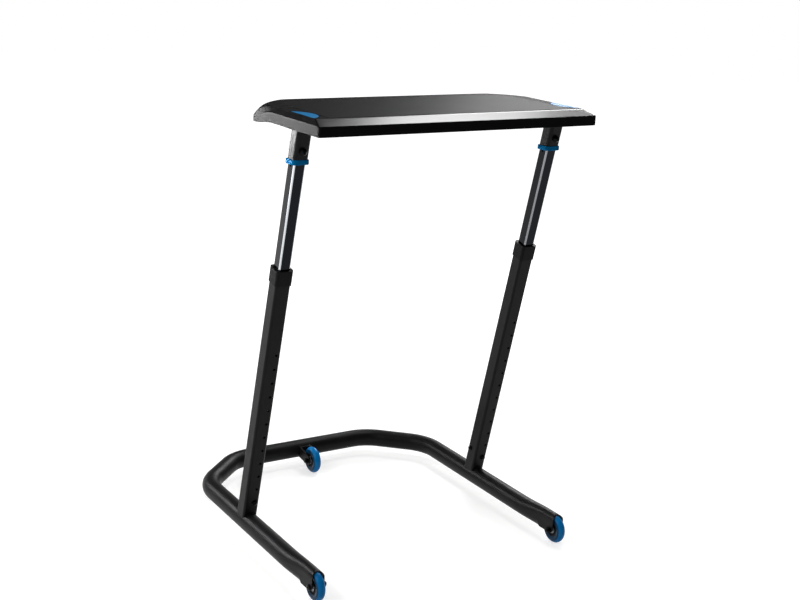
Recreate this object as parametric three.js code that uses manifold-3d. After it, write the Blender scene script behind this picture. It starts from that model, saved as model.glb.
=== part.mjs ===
// A free-standing desk for use over a bicycle on a trainer.
// A bent tube base rolls on three wheels, two posts lean towards the rider, and the tabletop
// slides up and down on them. Millimetres, +X to the rider's right, -Y towards the rider, +Z up.
// The origin lies on the floor under the middle of the desk.

import * as THREE from 'three';
import { mergeVertices } from 'three/addons/utils/BufferGeometryUtils.js';
import Module from 'manifold-3d';

const wasm = await Module();
wasm.setup();

// Wheels, and the bolts that they turn on
const wheelRadius = 36;
const wheelWidth = 22;
const treadRoundRadius = 11;
const treadSeatRadius = 19;
const treadSeatWidth = 19;
const bearingRadius = 11;
const bearingWidth = 7;
const bearingRaceRadius = 6.5;
const hubShoulderRadius = 8.5;
const axleRadius = 4;
const axleHeadRadius = 7.5;
const axleHeadHeight = 4;
const axleNutRadius = 7.5;
const axleNutHeight = 8;
const axleTipLength = 2.5;
const wheelSideClearance = 3.5;
const wheelTopClearance = 1.8;
const wheelRearClearance = 8;

// Base tube
const tubeRadius = 24;
const tubeWall = 2;
const tubeAxisHeight = 46;
const runnerHalfSpacing = 340;
const crossbarY = 725;
const cornerSetback = 123;
const cornerInset = 135;
const tubeBendRadius = 110;
const tubeEndReach = 12;
const tubeEndTaper = 150;
const tubeEndCorner = 13;
const tubeEndChin = 13;
const tubeEndDepth = 26;
const cheekDrop = 8;
const rearAxleSetback = 70;
const forkNoseRadius = 13;
const forkWrap = 5;
const forkTopSlope = THREE.MathUtils.degToRad(13);
const forkBottomSlope = THREE.MathUtils.degToRad(5.5);

// Posts: outer tubes, collars and what fastens them to the base
const postFootY = 367;
const postLean = THREE.MathUtils.degToRad(13.64);
const outerSide = 38;
const outerWall = 2;
const outerCorner = 6;
const outerTop = 690;
const holePitch = 38;
const holeCount = 11;
const lowestHole = 102;
const holeRadius = 3.3;
const holeOffset = 7.5;
const collarWall = 1.7;
const collarSkirt = 26;
const collarHead = 12;
const collarCorner = 7;
const spigotWall = 3;
const spigotTop = 90;
const footBoltHeight = 62;
const footBoltRadius = 4;
const footHeadRadius = 7;
const footHeadHeight = 5;
const footScrewHeight = 80;
const footScrewOffset = 8;
const footScrewRadius = 3;
const footScrewHeadRadius = 6;
const footScrewHeadHeight = 4.5;

// Inner tubes, brackets and the height lock
const innerSide = 30;
const innerWall = 1.5;
const innerCorner = 5;
const innerTopDrop = 30;
const restHole = 6;
const lockPinRadius = 2.9;
const lockPinTravel = 5;
const lockPinProud = 0.5;
const lockPinTail = 15.5;
const ringTravel = 8;
const blockBelow = 8;
const blockAbove = 16;
const wedgeWidth = 8;
const wedgeRise = 12;
const wedgeDrop = 8;
const wedgeTipThickness = 2.5;
const rodRadius = 3;
const barHalfLength = 18;
const ringDrop = 77;
const ringHeight = 11;
const ringSide = 42;
const ringCorner = 9;
const bracketSide = 36;
const bracketCorner = 8;
const plateInnerReach = 38;
const plateOuterReach = 18;
const plateFrontReach = 34;
const plateRearReach = 48;
const plateThickness = 5;
const bracketBoltRise = 24;
const bracketBoltRadius = 4;
const bracketHeadRadius = 8;
const bracketHeadHeight = 11;
const plateScrewRadius = 2.5;
const plateScrewHeadRadius = 5;
const plateScrewHeadHeight = 2.6;
const plateScrewBite = 12;
const plateScrewInset = 8;

// Tabletop, its mat and its two inserts
const deckCrestZ = 1086;
const deckRimDrop = 11;
const deckUndersideDrop = 31;
const deckSkirtDrop = 34;
const deckRearRimDrop = 29;
const deckRearSkirtDrop = 43;
const deckOverhang = 25;
const deckFrontReach = 123.2;
const deckDepth = 371;
const deckLip = 6;
const deckFrontCorner = 7;
const deckChamferDepth = 58;
const deckChamferWidth = 57;
const deckCurlDepth = 97;
const deckRearBulge = 6;
const deckChamferBulge = 6;
const frontBevelWidth = 37;
const sideBevelWidth = 11;
const rearBevelWidth = 32;
const crestChamferDepth = 76;
const crestChamferWidth = 73;
const matFrontMargin = 2;
const matSideMargin = 35;
const matRearMargin = 32;
const matChamferDepth = 29;
const matChamferWidth = 38;
const matThickness = 2.3;
const matProud = 0.6;
const matCorner = 4;
const insertMargin = 2.5;
const insertFrontMargin = 12;
const insertLength = 104;
const insertBulge = 30.5;
const insertThickness = 4;
const insertProud = 0.5;

// Clearances: between pieces that touch, between pieces that slide, and past what a cut goes through
const seatGap = 0.3;
const slideGap = 0.3;
const cutOverrun = 5;

// Facets
const tubeSides = 16;
const bendSteps = 4;
const wheelSides = 24;
const bearingSides = 16;
const boltSides = 12;
const holeSides = 8;
const cornerSteps = 2;
const treadSteps = 6;

// Places along the swaged tube ends, and how far each has changed from round, as shares
const endStationShares = [0, 0.28, 0.44, 0.62, 0.8, 1];
const endFlatShares = [1, 1, 0.92, 0.55, 0.18, 0];
const endDepthShares = [1, 1, 0, 0, 0, 0];

// Places round and up the edge of the tabletop, and round a bolt's dome, as shares
const bevelShares = [0.35, 0.7];
const frontCornerShare = 0.3;
const sideShares = [0.12, 0.4, 0.58, 0.7, 0.8, 0.88, 0.95];
const chamferShares = [0.05, 0.35, 0.65, 0.95];
const rearEdgeShares = [0.9, 0.3];
const rimBulgeShare = 0.5;
const domeProfileShares = [[1, 0], [1, 0.35], [0.8, 0.8], [0.4, 1], [0, 1]];

// Sizes that follow from those above
const axleHeight = wheelRadius;
const runnerBendY = crossbarY - cornerSetback;
const crossbarHalfLength = runnerHalfSpacing - cornerInset;
const rearAxleY = crossbarY - rearAxleSetback;
const cheekHalfWidth = wheelWidth / 2 + wheelSideClearance + tubeWall;
const tubeEndTop = 2 * wheelRadius + wheelTopClearance + tubeWall;
const cheekFace = cheekHalfWidth * Math.cos(Math.PI / tubeSides);
const cheekInnerFace = (cheekHalfWidth - tubeWall) * Math.cos(Math.PI / tubeSides);
const cheekBottom = axleHeight - cheekDrop;
const axleHoleRadius = axleRadius + slideGap;
const outerBore = outerSide - 2 * outerWall;
const spigotSide = outerBore - 2 * seatGap;
const innerBore = innerSide - 2 * innerWall;
const restPinHeight = lowestHole + restHole * holePitch;
const innerBottom = restPinHeight - blockBelow;
const collarTop = outerTop + collarHead;
const wedgeSlope = lockPinTravel / ringTravel;
const deckMiddleY = (crossbarY + tubeRadius - wheelRadius) / 2;

// Levels of the tabletop, and the heights along a post, from the runner's axis, that follow from them
const deckRimZ = deckCrestZ - deckRimDrop;
const deckUndersideZ = deckCrestZ - deckUndersideDrop;
const deckBottomZ = deckCrestZ - deckSkirtDrop;
const deckRearRimZ = deckCrestZ - deckRearRimDrop;
const deckRearBottomZ = deckCrestZ - deckRearSkirtDrop;
const plateTopZ = deckUndersideZ - seatGap;
const plateHeight = (plateTopZ - tubeAxisHeight) / Math.cos(postLean);
const innerTop = plateHeight - innerTopDrop;
const barHeight = plateHeight - ringDrop;
const bracketBottom = barHeight + (ringHeight / 2 + seatGap) / Math.cos(postLean);

// Outline of the tabletop, with the posts' tops as its reference, and of its crest and mat
const postTopY = postFootY - plateHeight * Math.sin(postLean);
const deckHalfWidth = runnerHalfSpacing + deckOverhang;
const deckFrontY = postTopY - deckFrontReach;
const deckRearY = deckFrontY + deckDepth;
const deckSideEndY = deckRearY - deckChamferDepth;
const deckRearHalfWidth = deckHalfWidth - deckChamferWidth;
const deckCurlStartY = deckSideEndY - deckCurlDepth;
const crestHalfWidth = deckHalfWidth - sideBevelWidth;
const crestFrontY = deckFrontY + frontBevelWidth;
const crestRearY = deckRearY - rearBevelWidth;
const crestSideEndY = crestRearY - crestChamferDepth;
const crestRearHalfWidth = crestHalfWidth - crestChamferWidth;
const matHalfWidth = crestHalfWidth - matSideMargin;
const matFrontY = crestFrontY + matFrontMargin;
const matRearY = crestRearY - matRearMargin;
const matSideEndY = matRearY - matChamferDepth;
const matRearHalfWidth = matHalfWidth - matChamferWidth;
const insertChordX = crestHalfWidth - insertMargin;
const insertStartY = crestFrontY + insertFrontMargin;
const insertEndY = insertStartY + insertLength;

function finish(color, roughness, metalness) {
  return () => new THREE.MeshStandardMaterial({ color, roughness, metalness });
}

const blackPaint = finish('#191a1c', 0.42, 0.2);
const blackChrome = finish('#3a3c40', 0.12, 1);
const blackPlastic = finish('#1b1b1d', 0.5, 0);
const blackRubber = finish('#232326', 0.85, 0);
const bluePlastic = finish('#0b84c6', 0.4, 0);
const blueTread = finish('#0a6fc2', 0.45, 0);
const brightSteel = finish('#9a9da1', 0.3, 1);
const blackFastener = finish('#101113', 0.4, 0.7);

// Joining and cutting of closed meshes

function solid(geometry) {
  const bare = geometry.index ? geometry.toNonIndexed() : geometry.clone();
  bare.deleteAttribute('normal');
  bare.deleteAttribute('uv');
  const merged = mergeVertices(bare);
  const vertProperties = new Float32Array(merged.attributes.position.array);
  const triVerts = new Uint32Array(merged.index.array);
  return new wasm.Manifold(new wasm.Mesh({ numProp: 3, vertProperties, triVerts }));
}

function geometryOf(body) {
  const result = body.getMesh();
  const geometry = new THREE.BufferGeometry();
  geometry.setAttribute('position', new THREE.BufferAttribute(result.vertProperties, result.numProp));
  geometry.setIndex(new THREE.BufferAttribute(result.triVerts, 1));
  return geometry;
}

function cut(geometry, ...cutters) {
  let body = solid(geometry);
  for (const cutter of cutters) body = body.subtract(solid(cutter));
  return geometryOf(body);
}

function join(geometry, ...additions) {
  let body = solid(geometry);
  for (const addition of additions) body = body.add(solid(addition));
  return geometryOf(body);
}

// Basic closed forms

function block(minX, maxX, minY, maxY, minZ, maxZ) {
  const geometry = new THREE.BoxGeometry(maxX - minX, maxY - minY, maxZ - minZ);
  return geometry.translate((minX + maxX) / 2, (minY + maxY) / 2, (minZ + maxZ) / 2);
}

function rodZ(radius, bottom, top, sides) {
  const geometry = new THREE.CylinderGeometry(radius, radius, top - bottom, sides);
  return geometry.rotateX(Math.PI / 2).translate(0, 0, (bottom + top) / 2);
}

function rodX(radius, left, right, sides) {
  return rodZ(radius, left, right, sides).rotateY(Math.PI / 2);
}

function rodY(radius, front, rear, sides) {
  return rodZ(radius, -rear, -front, sides).rotateX(Math.PI / 2);
}

// Turns a closed profile of radii and places along X, with the middles of its facets at those radii
function latheX(points, sides) {
  const outwards = 1 / Math.cos(Math.PI / sides);
  const closed = points.map(([radius, x]) => new THREE.Vector2(radius * outwards, x));
  closed.push(closed[0].clone());
  const geometry = new THREE.LatheGeometry(closed, sides, Math.PI / sides);
  return geometry.rotateZ(-Math.PI / 2);
}

function roundedSquare(side, corner) {
  const half = side / 2;
  const inner = half - corner;
  const shape = new THREE.Shape();
  shape.absarc(inner, inner, corner, 0, Math.PI / 2);
  shape.absarc(-inner, inner, corner, Math.PI / 2, Math.PI);
  shape.absarc(-inner, -inner, corner, Math.PI, 1.5 * Math.PI);
  shape.absarc(inner, -inner, corner, 1.5 * Math.PI, 2 * Math.PI);
  return shape;
}

function prism(shape, bottom, top) {
  const settings = { depth: top - bottom, bevelEnabled: false, curveSegments: cornerSteps };
  return new THREE.ExtrudeGeometry(shape, settings).translate(0, 0, bottom);
}

// Extrudes a shape drawn in y and z along X
function sidePrism(shape, width, segments) {
  const settings = { depth: width, bevelEnabled: false, curveSegments: segments };
  const geometry = new THREE.ExtrudeGeometry(shape, settings).translate(0, 0, -width / 2);
  return geometry.rotateX(Math.PI / 2).rotateZ(Math.PI / 2);
}

function squareTube(side, bore, corner, boreCorner, bottom, top) {
  const tube = prism(roundedSquare(side, corner), bottom, top);
  const hollow = prism(roundedSquare(bore, boreCorner), bottom - cutOverrun, top + cutOverrun);
  return cut(tube, hollow);
}

// Base tube: a round tube bent in plan, with each front end swaged into a tall arch over its wheel

function section(station, inset) {
  const { point, tangent, flat, deep } = station;
  const across = new THREE.Vector3(tangent.y, -tangent.x, 0);
  const round = tubeRadius - inset;
  const arch = cheekHalfWidth - inset;
  const archTopCentre = tubeEndTop - cheekHalfWidth - tubeAxisHeight;
  const archBottomCentre = axleHeight - tubeEndDepth + cheekHalfWidth - tubeAxisHeight;
  const ring = [];
  for (let i = 0; i < tubeSides; i += 1) {
    const angle = (2 * Math.PI * (i + 0.5)) / tubeSides;
    const radius = THREE.MathUtils.lerp(round, arch, flat);
    const lowRadius = THREE.MathUtils.lerp(round, arch, deep);
    const lift = Math.sin(angle) > 0 ? archTopCentre * flat : archBottomCentre * deep;
    const height = Math.sin(angle) * (Math.sin(angle) > 0 ? radius : lowRadius);
    const place = point.clone().addScaledVector(across, radius * Math.cos(angle));
    ring.push(place.setZ(tubeAxisHeight + lift + height));
  }
  return ring;
}

function shellAlong(stations) {
  const outer = stations.map((station) => section(station, 0));
  const inner = stations.map((station) => section(station, tubeWall));
  const loop = [...outer, ...inner.reverse()];
  const positions = loop.flat().flatMap((place) => place.toArray());
  const index = [];
  for (let r = 0; r < loop.length; r += 1) {
    const next = (r + 1) % loop.length;
    for (let i = 0; i < tubeSides; i += 1) {
      const j = (i + 1) % tubeSides;
      const a = r * tubeSides + i;
      const b = r * tubeSides + j;
      const c = next * tubeSides + j;
      const d = next * tubeSides + i;
      index.push(a, c, b, a, d, c);
    }
  }
  const geometry = new THREE.BufferGeometry();
  geometry.setAttribute('position', new THREE.Float32BufferAttribute(positions, 3));
  geometry.setIndex(index);
  return geometry;
}

function endStations(tip, direction) {
  return endStationShares.map((share, i) => ({
    point: tip.clone().addScaledVector(direction, share * tubeEndTaper),
    tangent: direction.clone(),
    flat: endFlatShares[i],
    deep: endDepthShares[i],
  }));
}

function bendStations(before, corner, after) {
  const inward = corner.clone().sub(before).normalize();
  const outward = after.clone().sub(corner).normalize();
  const turn = inward.angleTo(outward);
  const side = Math.sign(inward.x * outward.y - inward.y * outward.x);
  const start = corner.clone().addScaledVector(inward, -tubeBendRadius * Math.tan(turn / 2));
  const towardsCentre = new THREE.Vector3(-inward.y * side, inward.x * side, 0);
  const centre = start.clone().addScaledVector(towardsCentre, tubeBendRadius);
  const stations = [];
  for (let i = 0; i <= bendSteps; i += 1) {
    const angle = (side * turn * i) / bendSteps;
    const axis = new THREE.Vector3(0, 0, 1);
    const spoke = towardsCentre.clone().multiplyScalar(-tubeBendRadius).applyAxisAngle(axis, angle);
    const tangent = inward.clone().applyAxisAngle(axis, angle);
    stations.push({ point: centre.clone().add(spoke), tangent, flat: 0, deep: 0 });
  }
  return stations;
}

// The side view of what is trimmed off a swaged end, with y measured from the axle: its rounded
// nose, and its underside where the wheel comes through
function endTrim() {
  const topCentre = tubeEndTop - tubeEndCorner;
  const rear = tubeEndTaper * endStationShares[2] - tubeEndReach;
  const shape = new THREE.Shape();
  shape.moveTo(-tubeEndReach - cutOverrun, tubeEndTop + cutOverrun);
  shape.lineTo(-tubeEndReach - cutOverrun, -cutOverrun);
  shape.lineTo(rear, -cutOverrun);
  shape.lineTo(rear, cheekBottom);
  shape.lineTo(tubeEndChin - tubeEndReach, cheekBottom);
  const chinCentre = cheekBottom + tubeEndChin;
  shape.absarc(tubeEndChin - tubeEndReach, chinCentre, tubeEndChin, 1.5 * Math.PI, Math.PI, true);
  shape.absarc(tubeEndCorner - tubeEndReach, topCentre, tubeEndCorner, Math.PI, Math.PI / 2, true);
  shape.lineTo(tubeEndCorner - tubeEndReach, tubeEndTop + cutOverrun);
  return sidePrism(shape, 2 * (cheekHalfWidth + cutOverrun), 2 * cornerSteps);
}

function endCutters(x, axleY) {
  const slotHalf = cheekInnerFace - seatGap;
  const rear = wheelRadius + wheelRearClearance;
  const slot = block(-slotHalf, slotHalf, -wheelRadius, rear, -cutOverrun, axleHeight);
  return [endTrim(), slot, axleHole()].map((cutter) => cutter.translate(x, axleY, 0));
}

function axleHole() {
  const reach = cheekHalfWidth + cutOverrun;
  return rodX(axleHoleRadius, -reach, reach, holeSides).translate(0, 0, axleHeight);
}

function baseTube() {
  const rearward = new THREE.Vector3(0, 1, 0);
  const forward = new THREE.Vector3(0, -1, 0);
  const tipY = -tubeEndReach - seatGap;
  const corners = [
    new THREE.Vector3(-runnerHalfSpacing, tipY, 0),
    new THREE.Vector3(-runnerHalfSpacing, runnerBendY, 0),
    new THREE.Vector3(-crossbarHalfLength, crossbarY, 0),
    new THREE.Vector3(crossbarHalfLength, crossbarY, 0),
    new THREE.Vector3(runnerHalfSpacing, runnerBendY, 0),
    new THREE.Vector3(runnerHalfSpacing, tipY, 0),
  ];
  const leftEnd = endStations(corners[0], rearward);
  const rightEnd = endStations(corners[5], rearward).reverse();
  rightEnd.forEach((station) => station.tangent.copy(forward));
  const bends = [1, 2, 3, 4].flatMap((i) => bendStations(corners[i - 1], corners[i], corners[i + 1]));
  const shell = shellAlong([...leftEnd, ...bends, ...rightEnd]);
  return cut(shell, ...endCutters(-runnerHalfSpacing, 0), ...endCutters(runnerHalfSpacing, 0));
}

// Rear fork: a U of plate, coped against the front of the crossbar, with a rounded nose round the axle
function rearFork() {
  const barFront = rearAxleSetback - tubeRadius - seatGap;
  const webFront = barFront - (cheekFace - cheekInnerFace);
  const room = block(-cheekInnerFace, cheekInnerFace, -wheelRadius, webFront, 0, tubeEndTop);
  const behind = block(-cheekInnerFace, cheekInnerFace, barFront, crossbarY, 0, tubeEndTop);
  const reach = cheekHalfWidth + cutOverrun;
  const cope = rodX(tubeRadius + seatGap, -reach, reach, 2 * tubeSides);
  cope.translate(0, rearAxleSetback, tubeAxisHeight);
  const plates = sidePrism(forkSide(), 2 * cheekFace, cornerSteps * cornerSteps);
  return cut(plates, room, behind, cope, axleHole()).translate(0, rearAxleY, 0);
}

// The fork's side view, with y measured from the axle
function forkSide() {
  const rear = rearAxleSetback - tubeRadius + forkWrap;
  const topY = -forkNoseRadius * Math.sin(forkTopSlope);
  const topZ = axleHeight + forkNoseRadius * Math.cos(forkTopSlope);
  const bottomY = -forkNoseRadius * Math.sin(forkBottomSlope);
  const bottomZ = axleHeight - forkNoseRadius * Math.cos(forkBottomSlope);
  const shape = new THREE.Shape();
  shape.moveTo(rear, bottomZ + (rear - bottomY) * Math.tan(forkBottomSlope));
  const start = 1.5 * Math.PI - forkBottomSlope;
  shape.absarc(0, axleHeight, forkNoseRadius, start, Math.PI / 2 + forkTopSlope, true);
  shape.lineTo(rear, topZ + (rear - topY) * Math.tan(forkTopSlope));
  return shape;
}

// Wheels: a tread cast round a hub that holds a bearing in each side, on a bolt with a nut

function treadGeometry() {
  const half = treadSeatWidth / 2;
  const crownCentre = wheelRadius - treadRoundRadius;
  const profile = [[treadSeatRadius + seatGap, -half], [treadSeatRadius + seatGap, half]];
  for (let i = 0; i <= treadSteps; i += 1) {
    const angle = (Math.PI * i) / treadSteps;
    const radius = crownCentre + treadRoundRadius * Math.sin(angle);
    profile.push([radius, (wheelWidth / 2) * Math.cos(angle)]);
  }
  return latheX(profile.reverse(), wheelSides);
}

function hubGeometry() {
  const half = treadSeatWidth / 2;
  const pocket = half - bearingWidth - seatGap;
  const bore = bearingRadius + seatGap;
  const profile = [
    [treadSeatRadius, -half],
    [treadSeatRadius, half],
    [bore, half],
    [bore, pocket],
    [hubShoulderRadius, pocket],
    [hubShoulderRadius, -pocket],
    [bore, -pocket],
    [bore, -half],
  ];
  return latheX(profile, wheelSides);
}

// A bearing with the washer boss that keeps the wheel off its cheek, for the +X side
function bearingGeometry() {
  const outerFace = treadSeatWidth / 2;
  const innerFace = outerFace - bearingWidth;
  const bossFace = cheekInnerFace - seatGap;
  const profile = [
    [axleHoleRadius, innerFace],
    [bearingRadius, innerFace],
    [bearingRadius, outerFace],
    [bearingRaceRadius, outerFace],
    [bearingRaceRadius, bossFace],
    [axleHoleRadius, bossFace],
  ];
  return latheX(profile, bearingSides);
}

function spacerGeometry() {
  const half = treadSeatWidth / 2 - bearingWidth - seatGap;
  const profile = [
    [axleHoleRadius, -half],
    [bearingRaceRadius, -half],
    [bearingRaceRadius, half],
    [axleHoleRadius, half],
  ];
  return latheX(profile, bearingSides);
}

// A dome-headed bolt along +X, with its head on the -X side of what it clamps
function domeBolt(radius, seat, tip, headRadius, headHeight, sides) {
  const dome = domeProfileShares.map(([across, along]) => [headRadius * across, seat - headHeight * along]);
  const profile = [[0, tip], [radius, tip], [radius, seat], ...dome];
  const points = profile.map(([r, x]) => new THREE.Vector2(r, x)).reverse();
  return new THREE.LatheGeometry(points, sides).rotateZ(-Math.PI / 2);
}

function hexNut(radius, bore, seat, height) {
  const nut = rodX(radius, seat, seat + height, 6);
  return cut(nut, rodX(bore, seat - cutOverrun, seat + height + cutOverrun, boltSides));
}

function wheelSet(prefix, x, y, outward) {
  const group = new THREE.Group();
  group.position.set(x, y, axleHeight);
  const headSeat = -cheekFace - seatGap;
  const nutSeat = cheekFace + seatGap;
  const tip = nutSeat + axleNutHeight + axleTipLength;
  const bolt = domeBolt(axleRadius, headSeat, tip, axleHeadRadius, axleHeadHeight, boltSides);
  const nut = hexNut(axleNutRadius, axleHoleRadius, nutSeat, axleNutHeight);
  add(group, `${prefix}_wheel_tread`, treadGeometry(), blueTread);
  add(group, `${prefix}_wheel_hub`, hubGeometry(), blackPlastic);
  add(group, `${prefix}_wheel_spacer`, spacerGeometry(), brightSteel);
  add(group, `${prefix}_wheel_bearing_a`, bearingGeometry(), brightSteel);
  add(group, `${prefix}_wheel_bearing_b`, bearingGeometry().rotateZ(Math.PI), brightSteel);
  if (outward > 0) [bolt, nut].forEach((piece) => piece.rotateZ(Math.PI));
  add(group, `${prefix}_axle_bolt`, bolt, blackFastener);
  add(group, `${prefix}_axle_nut`, nut, blackFastener);
  return group;
}

function add(group, name, geometry, material) {
  const mesh = new THREE.Mesh(geometry, material());
  mesh.name = name;
  group.add(mesh);
  return mesh;
}

// Posts. Each is built standing up, with z along the post from the axis of the runner,
// and its group leans it towards the rider.

function runnerCope() {
  const reach = outerSide + cutOverrun;
  return rodY(tubeRadius + seatGap, -reach, reach, 2 * tubeSides).rotateX(-postLean);
}

function belowRunner() {
  const reach = outerSide + cutOverrun;
  return block(-reach, reach, -reach, reach, -reach, 0).rotateX(-postLean);
}

function outerTube(side) {
  const tube = squareTube(outerSide, outerBore, outerCorner, outerCorner - outerWall, -outerSide, outerTop);
  const holes = [];
  for (let i = 0; i < holeCount; i += 1) {
    const hole = rodY(holeRadius, -outerSide, 0, holeSides);
    holes.push(hole.translate(holeOffset, 0, lowestHole + i * holePitch));
  }
  return cut(tube, runnerCope(), belowRunner(), ...footHoles(side), ...holes);
}

// Holes for the foot bolt, in the front, and for the foot screw, in the side that faces the other post
function footHoles(side) {
  const boltHole = rodY(footBoltRadius + seatGap, -outerSide, 0, holeSides);
  const screwHole = rodX(footScrewRadius + seatGap, -outerSide, 0, holeSides);
  if (side < 0) screwHole.rotateZ(Math.PI);
  boltHole.translate(holeOffset, 0, footBoltHeight);
  screwHole.translate(0, footScrewOffset, footScrewHeight);
  return [boltHole, screwHole];
}

function spigot(side) {
  const bore = spigotSide - 2 * spigotWall;
  const corner = outerCorner - outerWall;
  const tube = squareTube(spigotSide, bore, corner, corner / 2, -outerSide, spigotTop);
  return cut(tube, runnerCope(), belowRunner(), ...footHoles(side));
}

// A collar that caps the outer tube, with a skirt outside it and a sleeve for the inner tube inside
function guideCollar() {
  const bottom = outerTop - collarSkirt;
  const outside = outerSide + 2 * (seatGap + collarWall);
  const guideSide = innerSide + 2 * slideGap;
  const head = prism(roundedSquare(outside, collarCorner), bottom, collarTop);
  const tubeRoom = outerSide + 2 * seatGap;
  const low = bottom - cutOverrun;
  const sleeveOutside = roundedSquare(outerBore - 2 * seatGap, outerCorner - outerWall);
  const groove = cut(
    prism(roundedSquare(tubeRoom, outerCorner + seatGap), low, outerTop + seatGap),
    prism(sleeveOutside, low - cutOverrun, collarTop),
  );
  const bore = prism(roundedSquare(guideSide, innerCorner + slideGap), low, collarTop + cutOverrun);
  return cut(head, groove, bore);
}

function innerTube() {
  const boreCorner = innerCorner - innerWall;
  const tube = squareTube(innerSide, innerBore, innerCorner, boreCorner, innerBottom, innerTop);
  const pinHole = rodY(lockPinRadius + slideGap, -innerSide, 0, holeSides);
  pinHole.translate(holeOffset, 0, restPinHeight);
  const slotHalf = rodRadius + slideGap;
  const slotLow = barHeight - ringTravel - slotHalf;
  const slot = block(-innerSide, innerSide, -slotHalf, slotHalf, slotLow, barHeight + slotHalf);
  const boltHole = rodY(bracketBoltRadius + seatGap, -innerSide, 0, holeSides);
  boltHole.translate(0, 0, bracketBottom + bracketBoltRise);
  return cut(tube, pinHole, slot, boltHole);
}

// The block in the foot of the inner tube, which guides the lock pin and the wedge of the release rod
function pinBlock() {
  const side = innerBore - 2 * seatGap;
  const bottom = innerBottom;
  const top = restPinHeight + blockAbove;
  const body = prism(roundedSquare(side, innerCorner - innerWall), bottom, top);
  const slotHalf = wedgeWidth / 2 + slideGap;
  const slotFront = wedgeFace(top) - slideGap;
  const slotRear = wedgeBack() + slideGap;
  const slot = block(-slotHalf, slotHalf, slotFront, slotRear, bottom - cutOverrun, top + cutOverrun);
  const pinBore = rodY(lockPinRadius + slideGap, -innerSide, 0, holeSides).translate(0, 0, restPinHeight);
  for (const cutter of [slot, pinBore]) cutter.translate(holeOffset, 0, 0);
  return cut(body, slot, pinBore);
}

// Where the wedge's sloping face is at a height, with the rod drawn up
function wedgeFace(height) {
  return slideGap + (restPinHeight + lockPinRadius - height) * wedgeSlope;
}

function wedgeBack() {
  return wedgeFace(restPinHeight - wedgeDrop) + wedgeTipThickness;
}

function lockPin() {
  const front = -innerSide / 2 - lockPinProud;
  const pin = rodY(lockPinRadius, front, front + lockPinTail + lockPinTravel, holeSides);
  pin.translate(0, 0, restPinHeight);
  const low = restPinHeight - innerSide;
  const high = restPinHeight + innerSide;
  const behind = new THREE.Shape();
  behind.moveTo(wedgeFace(low) - slideGap, low);
  behind.lineTo(innerSide + wedgeFace(low), low);
  behind.lineTo(innerSide + wedgeFace(low), high);
  behind.lineTo(wedgeFace(high) - slideGap, high);
  return cut(pin, sidePrism(behind, innerSide, cornerSteps)).translate(holeOffset, 0, 0);
}

function releaseRod() {
  const wedgeTop = restPinHeight + wedgeRise;
  const wedgeBottom = restPinHeight - wedgeDrop + seatGap;
  const side = new THREE.Shape();
  side.moveTo(wedgeFace(wedgeBottom), wedgeBottom);
  side.lineTo(wedgeBack(), wedgeBottom);
  side.lineTo(wedgeBack(), wedgeTop);
  side.lineTo(wedgeFace(wedgeTop), wedgeTop);
  const wedge = sidePrism(side, wedgeWidth, cornerSteps).translate(holeOffset, 0, 0);
  const rod = rodZ(rodRadius, wedgeTop - rodRadius, barHeight, holeSides).translate(holeOffset, 0, 0);
  const bar = rodX(rodRadius, -barHalfLength, barHalfLength, holeSides).translate(0, 0, barHeight);
  return join(rod, wedge, bar);
}

// A level slab of a ring, pinned to the bar, with a leaning bore that slides on the inner tube
function releaseRing() {
  const slab = prism(roundedSquare(ringSide, ringCorner), -ringHeight / 2, ringHeight / 2);
  slab.rotateX(-postLean).translate(0, 0, barHeight);
  const bore = prism(
    roundedSquare(innerSide + 2 * slideGap, innerCorner + slideGap),
    barHeight - ringSide,
    barHeight + ringSide,
  );
  const holeReach = barHalfLength + seatGap;
  const barHole = rodX(rodRadius + seatGap, -holeReach, holeReach, holeSides).translate(0, 0, barHeight);
  return cut(slab, bore, barHole);
}

// A bracket: a square sleeve on the inner tube, welded to a level plate under the tabletop
function bracket(side) {
  const low = bracketBottom - bracketSide;
  const sleeve = prism(roundedSquare(bracketSide, bracketCorner), low, plateHeight + bracketSide);
  const leftReach = side > 0 ? plateInnerReach : plateOuterReach;
  const rightReach = side > 0 ? plateOuterReach : plateInnerReach;
  const plate = block(-leftReach, rightReach, -plateFrontReach, plateRearReach, -plateThickness, 0);
  const above = block(-bracketSide, bracketSide, -bracketSide, bracketSide, 0, 2 * bracketSide);
  for (const level of [plate, above]) level.rotateX(-postLean).translate(0, 0, plateHeight);
  const below = block(-bracketSide, bracketSide, -bracketSide, bracketSide, -2 * bracketSide, 0);
  below.rotateX(-postLean).translate(0, 0, bracketBottom);
  const bore = innerSide + 2 * seatGap;
  const hollow = prism(
    roundedSquare(bore, innerCorner + seatGap),
    low - cutOverrun,
    innerTop + seatGap,
  );
  const boltHole = rodY(bracketBoltRadius + seatGap, -bracketSide, 0, holeSides);
  boltHole.translate(0, 0, bracketBottom + bracketBoltRise);
  const screwHoles = plateScrewPlaces(side).map(([x, y]) => {
    const hole = rodZ(plateScrewRadius + seatGap, -plateThickness - cutOverrun, cutOverrun, holeSides);
    return hole.translate(x, y, 0).rotateX(-postLean).translate(0, 0, plateHeight);
  });
  return cut(join(sleeve, plate), above, below, hollow, boltHole, ...screwHoles);
}

function plateScrewPlaces(side) {
  const x = -side * (plateInnerReach - plateScrewInset);
  return [[x, plateScrewInset - plateFrontReach], [x, plateRearReach - plateScrewInset]];
}

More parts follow.
